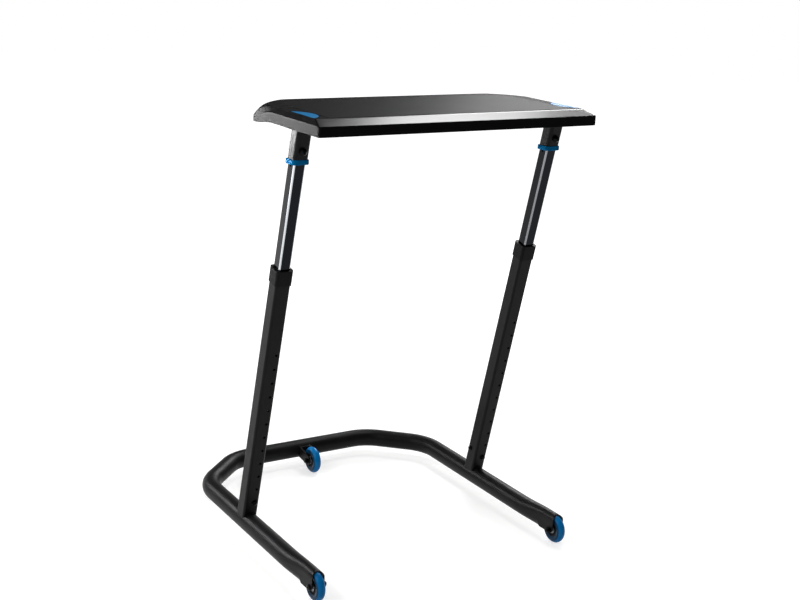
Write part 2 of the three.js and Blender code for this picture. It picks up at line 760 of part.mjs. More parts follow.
function post(side, name) {
  const fixed = new THREE.Group();
  fixed.position.set(side * runnerHalfSpacing, postFootY, tubeAxisHeight);
  fixed.rotation.x = postLean;
  add(fixed, `${name}_outer_tube`, outerTube(side), blackPaint);
  add(fixed, `${name}_post_spigot`, spigot(side), blackPaint);
  add(fixed, `${name}_guide_collar`, guideCollar(), blackPlastic);
  addFootFasteners(fixed, name, side);
  add(fixed, `${name}_inner_tube`, innerTube(), blackChrome);
  add(fixed, `${name}_pin_block`, pinBlock(), blackPlastic);
  add(fixed, `${name}_lock_pin`, lockPin(), brightSteel);
  add(fixed, `${name}_release_rod`, releaseRod(), brightSteel);
  add(fixed, `${name}_release_ring`, releaseRing(), bluePlastic);
  add(fixed, `${name}_bracket`, bracket(side), blackPaint);
  addBracketFasteners(fixed, name, side);
  return fixed;
}

function addFootFasteners(group, name, side) {
  const seat = outerSide / 2 + seatGap;
  const bite = outerSide / 2 - outerWall - seatGap - spigotWall;
  const bolt = domeBolt(footBoltRadius, -seat, -bite, footHeadRadius, footHeadHeight, boltSides);
  bolt.rotateZ(Math.PI / 2).translate(holeOffset, 0, footBoltHeight);
  add(group, `${name}_foot_bolt`, bolt, blackFastener);
  const screw = domeBolt(footScrewRadius, -seat, -bite, footScrewHeadRadius, footScrewHeadHeight, boltSides);
  if (side < 0) screw.rotateZ(Math.PI);
  add(group, `${name}_foot_screw`, screw.translate(0, footScrewOffset, footScrewHeight), blackFastener);
}

function addBracketFasteners(group, name, side) {
  const seat = bracketSide / 2 + seatGap;
  const bite = innerSide / 2 - innerWall;
  const bolt = domeBolt(bracketBoltRadius, -seat, -bite, bracketHeadRadius, bracketHeadHeight, boltSides);
  bolt.rotateZ(Math.PI / 2).translate(0, 0, bracketBottom + bracketBoltRise);
  add(group, `${name}_bracket_bolt`, bolt, blackFastener);
  plateScrewPlaces(side).forEach(([x, y], i) => {
    const screw = domeBolt(
      plateScrewRadius,
      -plateThickness - seatGap,
      plateScrewBite,
      plateScrewHeadRadius,
      plateScrewHeadHeight,
      holeSides,
    );
    screw.rotateY(-Math.PI / 2).translate(x, y, 0).rotateX(-postLean).translate(0, 0, plateHeight);
    add(group, `${name}_plate_screw_${'ab'[i]}`, screw, blackFastener);
  });
}

// Tabletop: a board with a bevelled edge, a skirt, and a rear edge that curls down

function mirrored(half) {
  const left = half.map(([x, y]) => [-x, y]).reverse();
  return [...half, ...left];
}

// Half the outer rim and half the crest above it, from the front to the rear, point for point
function rimHalf() {
  const rim = halfLoop(deckHalfWidth, deckFrontY, deckSideEndY, deckRearHalfWidth, deckRearY, rimBulgeShare);
  const crest = halfLoop(crestHalfWidth, crestFrontY, crestSideEndY, crestRearHalfWidth, crestRearY, 1);
  return { rim, crest };
}

function halfLoop(halfWidth, frontY, sideEndY, rearHalfWidth, rearY, bulgeShare) {
  const { lerp } = THREE.MathUtils;
  const cornerStep = deckFrontCorner * frontCornerShare;
  const points = [
    [halfWidth - deckFrontCorner, frontY],
    [halfWidth - cornerStep, frontY + cornerStep],
    [halfWidth, frontY + deckFrontCorner],
    ...sideShares.map((share) => [halfWidth, lerp(frontY, sideEndY, share)]),
  ];
  for (const share of chamferShares) {
    const swell = Math.sin(Math.PI * share) * deckChamferBulge * bulgeShare;
    points.push([lerp(halfWidth, rearHalfWidth, share) + swell, lerp(sideEndY, rearY, share) + swell]);
  }
  for (const share of rearEdgeShares) points.push([rearHalfWidth * share, rearY]);
  return points;
}

function curlAt(y) {
  return THREE.MathUtils.smoothstep(y, deckCurlStartY, deckSideEndY);
}

function insetLoop(points, distance) {
  return points.map(([x, y], i) => {
    const [px, py] = points[(i + points.length - 1) % points.length];
    const [nx, ny] = points[(i + 1) % points.length];
    const along = new THREE.Vector2(nx - px, ny - py).normalize();
    return [x - along.y * distance, y + along.x * distance];
  });
}

function loftLoops(loops) {
  const count = loops[0].length;
  const positions = loops.flat().flat();
  const index = [];
  for (let r = 0; r + 1 < loops.length; r += 1) {
    for (let i = 0; i < count; i += 1) {
      const j = (i + 1) % count;
      const a = r * count + i;
      const b = r * count + j;
      index.push(a, b, b + count, a, b + count, a + count);
    }
  }
  const bottom = loops[0].map(([x, y]) => new THREE.Vector2(x, y));
  const top = loops[loops.length - 1].map(([x, y]) => new THREE.Vector2(x, y));
  const last = (loops.length - 1) * count;
  for (const [a, b, c] of THREE.ShapeUtils.triangulateShape(bottom, [])) index.push(a, c, b);
  for (const corners of THREE.ShapeUtils.triangulateShape(top, [])) {
    index.push(...corners.map((corner) => last + corner));
  }
  const geometry = new THREE.BufferGeometry();
  geometry.setAttribute('position', new THREE.Float32BufferAttribute(positions, 3));
  geometry.setIndex(index);
  return geometry;
}

function deckBoard() {
  const half = rimHalf();
  const rim = mirrored(half.rim);
  const crest = mirrored(half.crest);
  const lip = insetLoop(rim, deckLip);
  const bottomAt = ([, y]) => THREE.MathUtils.lerp(deckBottomZ, deckRearBottomZ, curlAt(y));
  const rimAt = ([, y]) => THREE.MathUtils.lerp(deckRimZ, deckRearRimZ, curlAt(y));
  const bevels = bevelShares.map((share) => rim.map(([x, y], i) => {
    const bulge = Math.sin(Math.PI * share) * deckRearBulge * curlAt(y);
    return [
      THREE.MathUtils.lerp(x, crest[i][0], share),
      THREE.MathUtils.lerp(y, crest[i][1], share),
      THREE.MathUtils.lerp(rimAt([x, y]), deckCrestZ, share) + bulge,
    ];
  }));
  return loftLoops([
    lip.map(([x, y]) => [x, y, deckUndersideZ]),
    lip.map(([x, y], i) => [x, y, bottomAt(rim[i])]),
    rim.map(([x, y]) => [x, y, bottomAt([x, y])]),
    rim.map(([x, y]) => [x, y, rimAt([x, y])]),
    ...bevels,
    crest.map(([x, y]) => [x, y, deckCrestZ]),
  ]);
}

function matShape(margin) {
  const corners = mirrored([
    [matHalfWidth + margin, matFrontY - margin],
    [matHalfWidth + margin, matSideEndY + margin / 2],
    [matRearHalfWidth + margin / 2, matRearY + margin],
  ]);
  return roundedPolygon(corners, matCorner);
}

function roundedPolygon(corners, radius) {
  const shape = new THREE.Shape();
  corners.forEach(([x, y], i) => {
    const corner = new THREE.Vector2(x, y);
    const before = new THREE.Vector2(...corners[(i + corners.length - 1) % corners.length]);
    const after = new THREE.Vector2(...corners[(i + 1) % corners.length]);
    const enter = before.sub(corner).setLength(radius).add(corner);
    const leave = after.sub(corner).setLength(radius).add(corner);
    if (i === 0) shape.moveTo(enter.x, enter.y);
    else shape.lineTo(enter.x, enter.y);
    shape.quadraticCurveTo(x, y, leave.x, leave.y);
  });
  shape.closePath();
  return shape;
}

// A half-moon with its straight edge along the side of the tabletop
function insertShape(margin) {
  const halfChord = (insertEndY - insertStartY) / 2;
  const arcRadius = (halfChord * halfChord + insertBulge * insertBulge) / (2 * insertBulge);
  const centreX = insertChordX - insertBulge + arcRadius;
  const centreY = (insertStartY + insertEndY) / 2;
  const radius = arcRadius + margin;
  const sweep = Math.acos((centreX - insertChordX - margin) / radius);
  const shape = new THREE.Shape();
  shape.absarc(centreX, centreY, radius, Math.PI - sweep, Math.PI + sweep, false);
  shape.closePath();
  return shape;
}

function insertSolid(side, margin, bottom, top) {
  const geometry = new THREE.ExtrudeGeometry(insertShape(margin), {
    depth: top - bottom,
    bevelEnabled: false,
    curveSegments: 2 * treadSteps,
  });
  geometry.translate(0, 0, bottom);
  return side > 0 ? geometry : geometry.rotateZ(Math.PI).translate(0, insertStartY + insertEndY, 0);
}

function tabletop() {
  const matFloor = deckCrestZ + matProud - matThickness - seatGap;
  const matPocket = prism(matShape(seatGap), matFloor, deckCrestZ + cutOverrun);
  const insertFloor = deckCrestZ + insertProud - insertThickness - seatGap;
  const pockets = [-1, 1].map((side) => insertSolid(side, seatGap, insertFloor, deckCrestZ + cutOverrun));
  const screwRoom = [-1, 1].flatMap((side) => plateScrewHolesInDeck(side));
  return cut(deckBoard(), matPocket, ...pockets, ...screwRoom);
}

// The screws of each bracket plate enter the tabletop from below
function plateScrewHolesInDeck(side) {
  return plateScrewPlaces(side).map(([x, y]) => {
    const top = plateTopZ + plateScrewBite + seatGap;
    const hole = rodZ(plateScrewRadius + seatGap, deckUndersideZ - cutOverrun, top, holeSides);
    return hole.translate(side * runnerHalfSpacing + x, postTopY + y, 0);
  });
}

// The desk

const desk = new THREE.Group();
add(desk, 'base_tube', baseTube(), blackPaint);
add(desk, 'rear_wheel_fork', rearFork(), blackPaint);
desk.add(wheelSet('left_front', -runnerHalfSpacing, 0, -1));
desk.add(wheelSet('right_front', runnerHalfSpacing, 0, 1));
desk.add(wheelSet('rear', 0, rearAxleY, 1));
desk.add(post(-1, 'left'));
desk.add(post(1, 'right'));
add(desk, 'tabletop', tabletop(), blackPlastic);
const matBottom = deckCrestZ + matProud - matThickness;
add(desk, 'table_mat', prism(matShape(0), matBottom, deckCrestZ + matProud), blackRubber);
for (const [side, name] of [[-1, 'left_insert'], [1, 'right_insert']]) {
  const top = deckCrestZ + insertProud;
  add(desk, name, insertSolid(side, 0, top - insertThickness, top), bluePlastic);
}
desk.position.y = -deckMiddleY;

const root = new THREE.Group();
root.add(desk);

export default root;
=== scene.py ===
import math

import bmesh
import bpy
from mathutils import Matrix, Vector


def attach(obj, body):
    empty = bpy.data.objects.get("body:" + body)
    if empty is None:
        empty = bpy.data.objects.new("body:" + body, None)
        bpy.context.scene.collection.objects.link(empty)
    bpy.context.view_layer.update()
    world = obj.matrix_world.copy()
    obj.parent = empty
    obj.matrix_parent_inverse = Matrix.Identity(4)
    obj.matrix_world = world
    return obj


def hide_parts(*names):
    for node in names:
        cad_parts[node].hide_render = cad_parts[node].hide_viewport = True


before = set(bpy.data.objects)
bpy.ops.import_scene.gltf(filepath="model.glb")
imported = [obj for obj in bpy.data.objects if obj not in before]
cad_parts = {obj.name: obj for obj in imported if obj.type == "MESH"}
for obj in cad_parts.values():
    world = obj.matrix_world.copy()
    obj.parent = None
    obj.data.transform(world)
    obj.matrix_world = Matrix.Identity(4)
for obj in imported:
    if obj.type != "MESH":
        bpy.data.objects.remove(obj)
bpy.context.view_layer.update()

# Base tube. One length of 48 mm steel tube, bent at four corners into a U that is open
# towards the rider. Each front end is pressed tall and narrow into an arch over its wheel,
# slotted from below, drilled for the axle, and powder coated satin black.

MM = 0.001
DESK = Matrix.Translation((0, -0.3565, 0)) @ Matrix.Scale(MM, 4)

tube_radius = 24
tube_height = 46
tube_wall = 2
runner_x = 340
bend_radius = 110
crossbar_y = 725
tube_tip_y = -12.3
outer_bend_y = 602
inner_bend_x = 205
half_route = [(runner_x, tube_tip_y), (runner_x, outer_bend_y), (inner_bend_x, crossbar_y)]
tube_corners = [(-x, y) for x, y in half_route] + half_route[::-1]
arch_half_width = 16.5
arch_top = 75.8
arch_bottom = 10
arch_reach = 12
arch_taper = 150
arch_corner = 13
arch_chin = 13
top_blend = (0.26, 1)
bottom_blend = (0.3, 0.44)
wheel_radius = 36
cheek_inside = 14.2
cheek_bottom = 28
slot_rear = wheel_radius + 8
opening_rear = 54
tube_sides = 48
sharp_angle = 40
quarter = math.pi / 2

# A hole is wider than what goes in it by the clearance, and a cutter runs past what it cuts by
# the overrun.
bolt_radius = 4
clearance = 0.3
overrun = 5
bolt_hole_radius = bolt_radius + clearance


def linear(colour):
    """An sRGB hex colour as the linear RGBA that a shader socket takes."""
    parts = [int(colour[i:i + 2], 16) / 255 for i in (1, 3, 5)]
    return [p / 12.92 if p <= 0.04045 else ((p + 0.055) / 1.055) ** 2.4 for p in parts] + [1]


def add_node(tree, kind, inputs=(), **settings):
    """Adds one node, with its settings, and sets or links its inputs."""
    added = tree.nodes.new(kind)
    for name, value in settings.items():
        setattr(added, name, value)
    for name, value in dict(inputs).items():
        if isinstance(value, bpy.types.NodeSocket):
            tree.links.new(value, added.inputs[name])
        else:
            added.inputs[name].default_value = value
    return added


def new_material(name):
    """An empty node material, with its tree and the piece's own coordinates."""
    material = bpy.data.materials.new(name)
    material.use_nodes = True
    tree = material.node_tree
    tree.nodes.clear()
    coordinates = add_node(tree, "ShaderNodeTexCoord").outputs["Object"]
    return material, tree, coordinates


def grains_per_metre(size_mm):
    return 1 / (size_mm * MM)


def powder_coat():
    """Polyester powder coat on steel: sprayed dry and baked, so it is an even satin black with
    a faint orange peel, and it dulls a little where it has been handled and dusted."""
    material, tree, place = new_material("powder_coated_steel")
    peel = add_node(tree, "ShaderNodeTexNoise", {
        "Vector": place, "Scale": grains_per_metre(1.6), "Detail": 2, "Roughness": 0.4})
    handling = add_node(tree, "ShaderNodeTexNoise", {
        "Vector": place, "Scale": grains_per_metre(55), "Detail": 5, "Roughness": 0.6})
    dust = add_node(tree, "ShaderNodeMapRange", {
        "Value": handling.outputs["Fac"], "From Min": 0.35, "From Max": 0.7, "To Min": 0, "To Max": 1})
    colour = add_node(tree, "ShaderNodeMix", {
        "Factor": dust.outputs["Result"], "A": linear("#0c0c0d"), "B": linear("#131314")},
        data_type="RGBA")
    gloss = add_node(tree, "ShaderNodeMapRange", {
        "Value": handling.outputs["Fac"], "From Min": 0.3, "From Max": 0.7, "To Min": 0.38, "To Max": 0.46})
    bump = add_node(tree, "ShaderNodeBump", {
        "Height": peel.outputs["Fac"], "Strength": 0.12, "Distance": 0.0002})
    shader = add_node(tree, "ShaderNodeBsdfPrincipled", {
        "Base Color": colour.outputs["Result"], "Roughness": gloss.outputs["Result"],
        "Normal": bump.outputs["Normal"], "IOR": 1.5, "Specular IOR Level": 0.1})
    add_node(tree, "ShaderNodeOutputMaterial", {"Surface": shader.outputs["BSDF"]})
    return material


def mesh_piece(name, points, faces, place=DESK):
    """A closed mesh from points in millimetres, with its faces turned outwards."""
    mesh = bpy.data.meshes.new(name)
    mesh.from_pydata([place @ Vector(p) for p in points], [], faces)
    shell = bmesh.new()
    shell.from_mesh(mesh)
    if shell.calc_volume(signed=True) < 0:
        bmesh.ops.reverse_faces(shell, faces=shell.faces)
    shell.to_mesh(mesh)
    shell.free()
    piece = bpy.data.objects.new(name, mesh)
    bpy.context.scene.collection.objects.link(piece)
    return piece


def bake_modifiers(piece):
    """Makes what the piece's modifiers give its plain mesh."""
    bpy.context.view_layer.update()
    evaluated = piece.evaluated_get(bpy.context.evaluated_depsgraph_get())
    old, piece.data = piece.data, bpy.data.meshes.new_from_object(evaluated)
    piece.modifiers.clear()
    piece.data.name = piece.name
    bpy.data.meshes.remove(old)


def carve(piece, cutters, operation="DIFFERENCE"):
    """Cuts or joins a piece with others, which are used up."""
    for cutter in cutters:
        step = piece.modifiers.new("carve", "BOOLEAN")
        step.object, step.operation, step.solver = cutter, operation, "EXACT"
    bake_modifiers(piece)
    for cutter in cutters:
        mesh = cutter.data
        bpy.data.objects.remove(cutter)
        bpy.data.meshes.remove(mesh)
    return piece


def soften(piece, width_mm, segments=2):
    """Rounds the sharp edges, as deburring, moulding or a thick coat does."""
    step = piece.modifiers.new("soften", "BEVEL")
    step.width, step.segments = width_mm * MM, segments
    step.limit_method, step.angle_limit = "ANGLE", math.radians(sharp_angle)
    step.use_clamp_overlap, step.harden_normals = True, False
    bake_modifiers(piece)


def fit(piece, material, body, node, crease=32):
    """Shades and paints a finished piece, and fixes it to its CAD body."""
    piece.data.shade_smooth()
    piece.data.set_sharp_from_angle(angle=math.radians(crease))
    even = piece.modifiers.new("flat_faces", "WEIGHTED_NORMAL")
    even.keep_sharp, even.weight = True, 90
    bake_modifiers(piece)
    piece.data.materials.clear()
    piece.data.materials.append(material)
    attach(piece, body)
    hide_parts(node)


def box(name, low, high, place=DESK):
    corners = [(x, y, z) for z in (low[2], high[2]) for y in (low[1], high[1]) for x in (low[0], high[0])]
    sides = [(0, 1, 3, 2), (4, 6, 7, 5), (0, 4, 5, 1), (2, 3, 7, 6), (0, 2, 6, 4), (1, 5, 7, 3)]
    return mesh_piece(name, corners, sides, place)


def prism(name, outline, low, high, place=DESK, axis="Z"):
    """A straight extrusion of an outline. Along X the outline is in Y and Z, along Y in Z and X."""
    turn = {"X": lambda a, b, c: (c, a, b), "Y": lambda a, b, c: (b, c, a),
            "Z": lambda a, b, c: (a, b, c)}[axis]
    n = len(outline)
    points = [turn(a, b, c) for c in (low, high) for a, b in outline]
    faces = [tuple(range(n)), tuple(range(2 * n - 1, n - 1, -1))]
    faces += [(i, i + n, (i + 1) % n + n, (i + 1) % n) for i in range(n)]
    return mesh_piece(name, points, faces, place)


def arc(centre, radius, start, sweep, steps):
    """Points round a centre, from the start angle on, with both ends."""
    angles = [start + sweep * i / steps for i in range(steps + 1)]
    return [(centre[0] + radius * math.cos(a), centre[1] + radius * math.sin(a)) for a in angles]


def circle(radius, sides, centre=(0, 0)):
    return arc(centre, radius, 0, 2 * math.pi, sides)[:-1]


def bands(rings, sides, closed=True):
    """The faces between neighbouring rings of points, and from the last to the first if closed."""
    return [(r * sides + i, r * sides + (i + 1) % sides,
             (r + 1) % rings * sides + (i + 1) % sides, (r + 1) % rings * sides + i)
            for r in range(rings if closed else rings - 1) for i in range(sides)]


def smooth_step(value, start, end):
    t = min(max((value - start) / (end - start), 0), 1)
    return t * t * (3 - 2 * t)


def tube_ring(place, heading, share, inset):
    """The tube's section: round where share is 1, and the arch over a wheel where it is 0."""
    flat = 1 - smooth_step(share, *top_blend)
    lobe = 1 - smooth_step(share, *bottom_blend)
    round_radius, arch_radius = tube_radius - inset, arch_half_width - inset
    top_lift = (arch_top - arch_half_width - tube_height) * flat
    bottom_lift = (arch_bottom + arch_half_width - tube_height) * lobe
    ring = []
    for i in range(tube_sides):
        angle = 2 * math.pi * (i + 0.5) / tube_sides
        across = round_radius + (arch_radius - round_radius) * flat
        if math.sin(angle) > 0:
            height = across * math.sin(angle) + top_lift
        else:
            height = (round_radius + (arch_radius - round_radius) * lobe) * math.sin(angle) + bottom_lift
        reach = across * math.cos(angle)
        ring.append((place[0] + heading[1] * reach, place[1] - heading[0] * reach, tube_height + height))
    return ring


def tube_shell(name, stations):
    """A hollow tube through stations of place, heading and share, closed at both ends."""
    rings = [tube_ring(*station, 0) for station in stations]
    rings += [tube_ring(*station, tube_wall) for station in reversed(stations)]
    return mesh_piece(name, [p for ring in rings for p in ring], bands(len(rings), tube_sides))


def arch_stations(tip, heading, steps=24):
    shares = [i / steps for i in range(steps + 1)]
    return [((tip[0] + heading[0] * s * arch_taper, tip[1] + heading[1] * s * arch_taper), heading, s)
            for s in shares]


def bend_stations(before, corner, after, steps=14):
    into = (Vector(corner) - Vector(before)).normalized()
    out = (Vector(after) - Vector(corner)).normalized()
    turn = into.angle_signed(out)
    start = Vector(corner) - into * bend_radius * math.tan(abs(turn) / 2)
    side = -math.copysign(1, turn)
    spoke = Vector((-into.y, into.x)) * side
    centre = start + spoke * bend_radius
    stations = []
    for i in range(steps + 1):
        turned = Matrix.Rotation(-turn * i / steps, 2)
        stations.append((centre - turned @ spoke * bend_radius, turned @ into, 1))
    return stations


def arch_cutters(x, axle_y):
    """What is cut from a pressed end: its nose and underside, the wheel slot and the axle hole."""
    front, rear = axle_y - arch_reach, axle_y + opening_rear
    outline = [(front - overrun, arch_top + overrun), (front - overrun, -overrun),
               (rear, -overrun), (rear, cheek_bottom)]
    outline += arc((front + arch_chin, cheek_bottom + arch_chin), arch_chin, 3 * quarter, -quarter, 10)
    outline += arc((front + arch_corner, arch_top - arch_corner), arch_corner, math.pi, -quarter, 10)
    outline.append((front + arch_corner, arch_top + overrun))
    across = (x - tube_radius, x + tube_radius)
    nose = prism("nose_trim", outline, *across, axis="X")
    half = cheek_inside - clearance
    slot = box("wheel_slot", (x - half, axle_y - wheel_radius, -overrun),
               (x + half, axle_y + slot_rear, wheel_radius))
    hole = prism("axle_hole", circle(bolt_hole_radius, 32, (axle_y, wheel_radius)), *across, axis="X")
    return [nose, slot, hole]


powder_coated_steel = powder_coat()
ends = arch_stations(tube_corners[0], (0, 1))
bends = [s for i in (1, 2, 3, 4) for s in bend_stations(*tube_corners[i - 1:i + 2])]
other_end = [((-place[0], place[1]), (0, -1), share) for place, heading, share in reversed(ends)]
base_tube = tube_shell("base_tube_steel", ends + bends + other_end)
carve(base_tube, arch_cutters(-runner_x, 0) + arch_cutters(runner_x, 0))
soften(base_tube, 0.5)
fit(base_tube, powder_coated_steel, "base", "base_tube")


# Rear wheel fork. A U pressed from 2 mm steel plate, its two cheeks rounded at the axle, coped to
# fit round the crossbar and welded to it before the base is coated, so the weld is black too.

rear_axle_y = 655
cope_radius = tube_radius + clearance
fork_half = 16.18
fork_plate = 1.96
fork_inside = fork_half - fork_plate
fork_bend = 4
fork_nose = 13
fork_reach = 51
fork_opening = 40
fork_room_top = 90
fork_top_slope = math.radians(13)
fork_bottom_slope = math.radians(5.5)
bar_setback = crossbar_y - rear_axle_y
bar_front = bar_setback - cope_radius


def fork_side():
    """The side of the fork, in y from the axle and z: a round nose and two straight edges."""
    sweep = math.pi - fork_top_slope - fork_bottom_slope
    nose = arc((0, wheel_radius), fork_nose, 3 * quarter - fork_bottom_slope, -sweep, 32)
    (low_y, low_z), (high_y, high_z) = nose[0], nose[-1]
    rear_low = (fork_reach, low_z + (fork_reach - low_y) * math.tan(fork_bottom_slope))
    rear_high = (fork_reach, high_z + (fork_reach - high_y) * math.tan(fork_top_slope))
    return [rear_low] + nose + [rear_high]


def fork_room():
    """The inside of the U from above, open towards the rider, with bent corners."""
    bend = fork_bend - fork_plate
    right = arc((fork_inside - bend, bar_front - fork_plate - bend), bend, quarter, -quarter, 10)
    right.append((fork_inside, -fork_opening))
    return right + [(-x, y) for x, y in reversed(right)]


axle = DESK @ Matrix.Translation((0, rear_axle_y, 0))
fork_cut = fork_half + overrun
fork = prism("rear_fork_plate", fork_side(), -fork_half, fork_half, axle, "X")
room = prism("room", fork_room(), -overrun, fork_room_top, axle)
behind = box("behind", (-fork_inside, bar_front, -overrun), (fork_inside, bar_setback, fork_room_top), axle)
cope = prism("cope", circle(cope_radius, 96, (bar_setback, tube_height)), -fork_cut, fork_cut, axle, "X")
hole = prism("axle_hole", circle(bolt_hole_radius, 32, (0, wheel_radius)), -fork_cut, fork_cut, axle, "X")
carve(fork, [room, behind, cope, hole])
soften(fork, 0.5)
fit(fork, powder_coated_steel, "base", "rear_wheel_fork")


# Wheels. Three 72 mm inline skate wheels: a blue polyurethane tread cast round a black nylon
# hub that holds a shielded steel bearing in each side. Each turns on a bolt with a nut.

tread_width = 22
tread_round = tread_width / 2
# How far the tread's surface must turn sideways to take the painted shade on its flanks.
flank_turn = (0.8, 0.95)
hub_radius = 19
hub_half = 9.5
tread_bore = hub_radius + 0.2
tread_shoulder = hub_radius + 1.6
core_radius = hub_radius + 1.8
hub_rim = 1.5
hub_rim_foot = 2.4
hub_dish = 1.6
hub_bore = 8.5
seat_wall = 1.2
seat_wall_foot = 2
bearing_radius = 11
bearing_width = 7
bearing_seat = bearing_radius + 0.15
bore_radius = bolt_radius + clearance
race_width = 1.4
race_chamfer = 0.4
shield_depth = 0.5
shield_slope = 0.2
inner_race_radius = 6.8
shoulder_radius = 6.4
shoulder_chamfer = 0.3
cheek_face = arch_half_width
wheel_places = {"left_front": (-runner_x, 0), "right_front": (runner_x, 0), "rear": (0, rear_axle_y)}
bolt_head_side = {"left_front": -1, "right_front": 1, "rear": 1}
axle_bolt_head = (7.5, 4)
axle_bolt_tip = cheek_face + 10.4
bolt_chamfer = 0.5
head_edge = 0.3
head_rim = 0.42
head_flat = 0.42
socket_radius = 0.34
socket_depth = 0.6
nut_radius = 7.5
nut_bore = 4.25
nut_height = 8
nut_chamfers = (1, 1.2)


def turned(name, profile, place, sides=64, closed=True):
    """A turned solid round X, from a profile of (radius, x) that closes or ends on the axis."""
    points, rings = [], []
    for radius, x in profile:
        if radius == 0:
            rings.append([len(points)])
            points.append((x, 0, 0))
        else:
            rings.append(list(range(len(points), len(points) + sides)))
            points += [(x, b, c) for b, c in circle(radius, sides)]
    faces = []
    for a, b in zip(rings, rings[1:] + (rings[:1] if closed else [])):
        for i in range(sides):
            j = (i + 1) % sides
            corners = (a[i % len(a)], a[j % len(a)], b[j % len(b)], b[i % len(b)])
            faces.append(tuple(dict.fromkeys(corners)))
    return mesh_piece(name, points, faces, place)


def cast_tread():
    """Cast polyurethane, poured into a mould and ground true: clear blue, smooth and slightly
    waxy, with fine scuffs round the rolling face. Its sideways flanks are painted nearly black,
    as painted shade."""
    material, tree, place = new_material("cast_polyurethane")
    scuffs = add_node(tree, "ShaderNodeTexNoise", {
        "Vector": place, "Scale": grains_per_metre(5), "Detail": 4, "Roughness": 0.7})
    colour = add_node(tree, "ShaderNodeMix", {
        "Factor": scuffs.outputs["Fac"], "A": linear("#00609b"), "B": linear("#0074b6")},
        data_type="RGBA")
    # The sideways flanks are mixed to near black: painted shade.
    flank_shade = add_node(tree, "ShaderNodeAttribute", attribute_name="flank_shade").outputs["Fac"]
    colour = add_node(tree, "ShaderNodeMix", {
        "Factor": flank_shade, "A": colour.outputs["Result"], "B": linear("#042c46")}, data_type="RGBA")
    gloss = add_node(tree, "ShaderNodeMapRange", {
        "Value": scuffs.outputs["Fac"], "To Min": 0.16, "To Max": 0.34})
    bump = add_node(tree, "ShaderNodeBump", {
        "Height": scuffs.outputs["Fac"], "Strength": 0.08, "Distance": 0.0003})
    shader = add_node(tree, "ShaderNodeBsdfPrincipled", {
        "Base Color": colour.outputs["Result"], "Roughness": gloss.outputs["Result"],
        "Normal": bump.outputs["Normal"], "IOR": 1.5, "Specular IOR Level": 0.1,
        "Subsurface Weight": 0.1, "Subsurface Scale": 0.004})
    add_node(tree, "ShaderNodeOutputMaterial", {"Surface": shader.outputs["BSDF"]})
    return material


def mark_flank_shade(tread, place):
    """Writes how much painted shade each point of a tread gets: how far it faces sideways, from 0 on the
    rolling face to 1, and 1 where it lies against the core.
    """
    attribute = tread.data.attributes.new("flank_shade", "FLOAT", "POINT")
    back = place.inverted()
    for i, point in enumerate(tread.data.vertices):
        x, y, z = back @ point.co
        on_core = math.hypot(y, z) < core_radius
        attribute.data[i].value = 1 if on_core else smooth_step(abs(point.normal.x), *flank_turn)


def moulded_nylon():
    """Glass-filled nylon: injection moulded, so it is a dull black with a fine mottle."""
    material, tree, place = new_material("moulded_nylon")
    mottle = add_node(tree, "ShaderNodeTexNoise", {
        "Vector": place, "Scale": grains_per_metre(1.2), "Detail": 3, "Roughness": 0.6})
    colour = add_node(tree, "ShaderNodeMix", {
        "Factor": mottle.outputs["Fac"], "A": linear("#0c0c0d"), "B": linear("#131314")},
        data_type="RGBA")
    bump = add_node(tree, "ShaderNodeBump", {
        "Height": mottle.outputs["Fac"], "Strength": 0.2, "Distance": 0.0002})
    shader = add_node(tree, "ShaderNodeBsdfPrincipled", {
        "Base Color": colour.outputs["Result"], "Roughness": 0.48,
        "Normal": bump.outputs["Normal"], "IOR": 1.53, "Specular IOR Level": 0.06})
    add_node(tree, "ShaderNodeOutputMaterial", {"Surface": shader.outputs["BSDF"]})
    return material


def ground_steel():
    """Bearing and pin steel: ground, with fine turning marks and a film of oil, so it is a mid
    grey metal with a soft streaked gloss."""
    material, tree, place = new_material("ground_steel")
    marks = add_node(tree, "ShaderNodeTexNoise", {
        "Vector": place, "Scale": grains_per_metre(0.8), "Detail": 2, "Roughness": 0.5})
    gloss = add_node(tree, "ShaderNodeMapRange", {
        "Value": marks.outputs["Fac"], "To Min": 0.2, "To Max": 0.36})
    bump = add_node(tree, "ShaderNodeBump", {
        "Height": marks.outputs["Fac"], "Strength": 0.1, "Distance": 0.0001})
    shader = add_node(tree, "ShaderNodeBsdfPrincipled", {
        "Base Color": linear("#77797c"), "Metallic": 1, "Roughness": gloss.outputs["Result"],
        "Normal": bump.outputs["Normal"]})
    add_node(tree, "ShaderNodeOutputMaterial", {"Surface": shader.outputs["BSDF"]})
    return material


def black_oxide():
    """Black oxide on machined steel: dipped and oiled, so it is a dark metal with a low sheen
    that turns grey where a tool has rubbed it."""
    material, tree, place = new_material("black_oxide_steel")
    rub = add_node(tree, "ShaderNodeTexNoise", {
        "Vector": place, "Scale": grains_per_metre(2.5), "Detail": 4, "Roughness": 0.65})
    worn = add_node(tree, "ShaderNodeMapRange", {
        "Value": rub.outputs["Fac"], "From Min": 0.55, "From Max": 0.75, "To Min": 0, "To Max": 1})
    colour = add_node(tree, "ShaderNodeMix", {
        "Factor": worn.outputs["Result"], "A": linear("#131415"), "B": linear("#26272a")},
        data_type="RGBA")
    gloss = add_node(tree, "ShaderNodeMapRange", {
        "Value": rub.outputs["Fac"], "To Min": 0.3, "To Max": 0.48})
    shader = add_node(tree, "ShaderNodeBsdfPrincipled", {
        "Base Color": colour.outputs["Result"], "Metallic": 1, "Roughness": gloss.outputs["Result"]})
    add_node(tree, "ShaderNodeOutputMaterial", {"Surface": shader.outputs["BSDF"]})
    return material


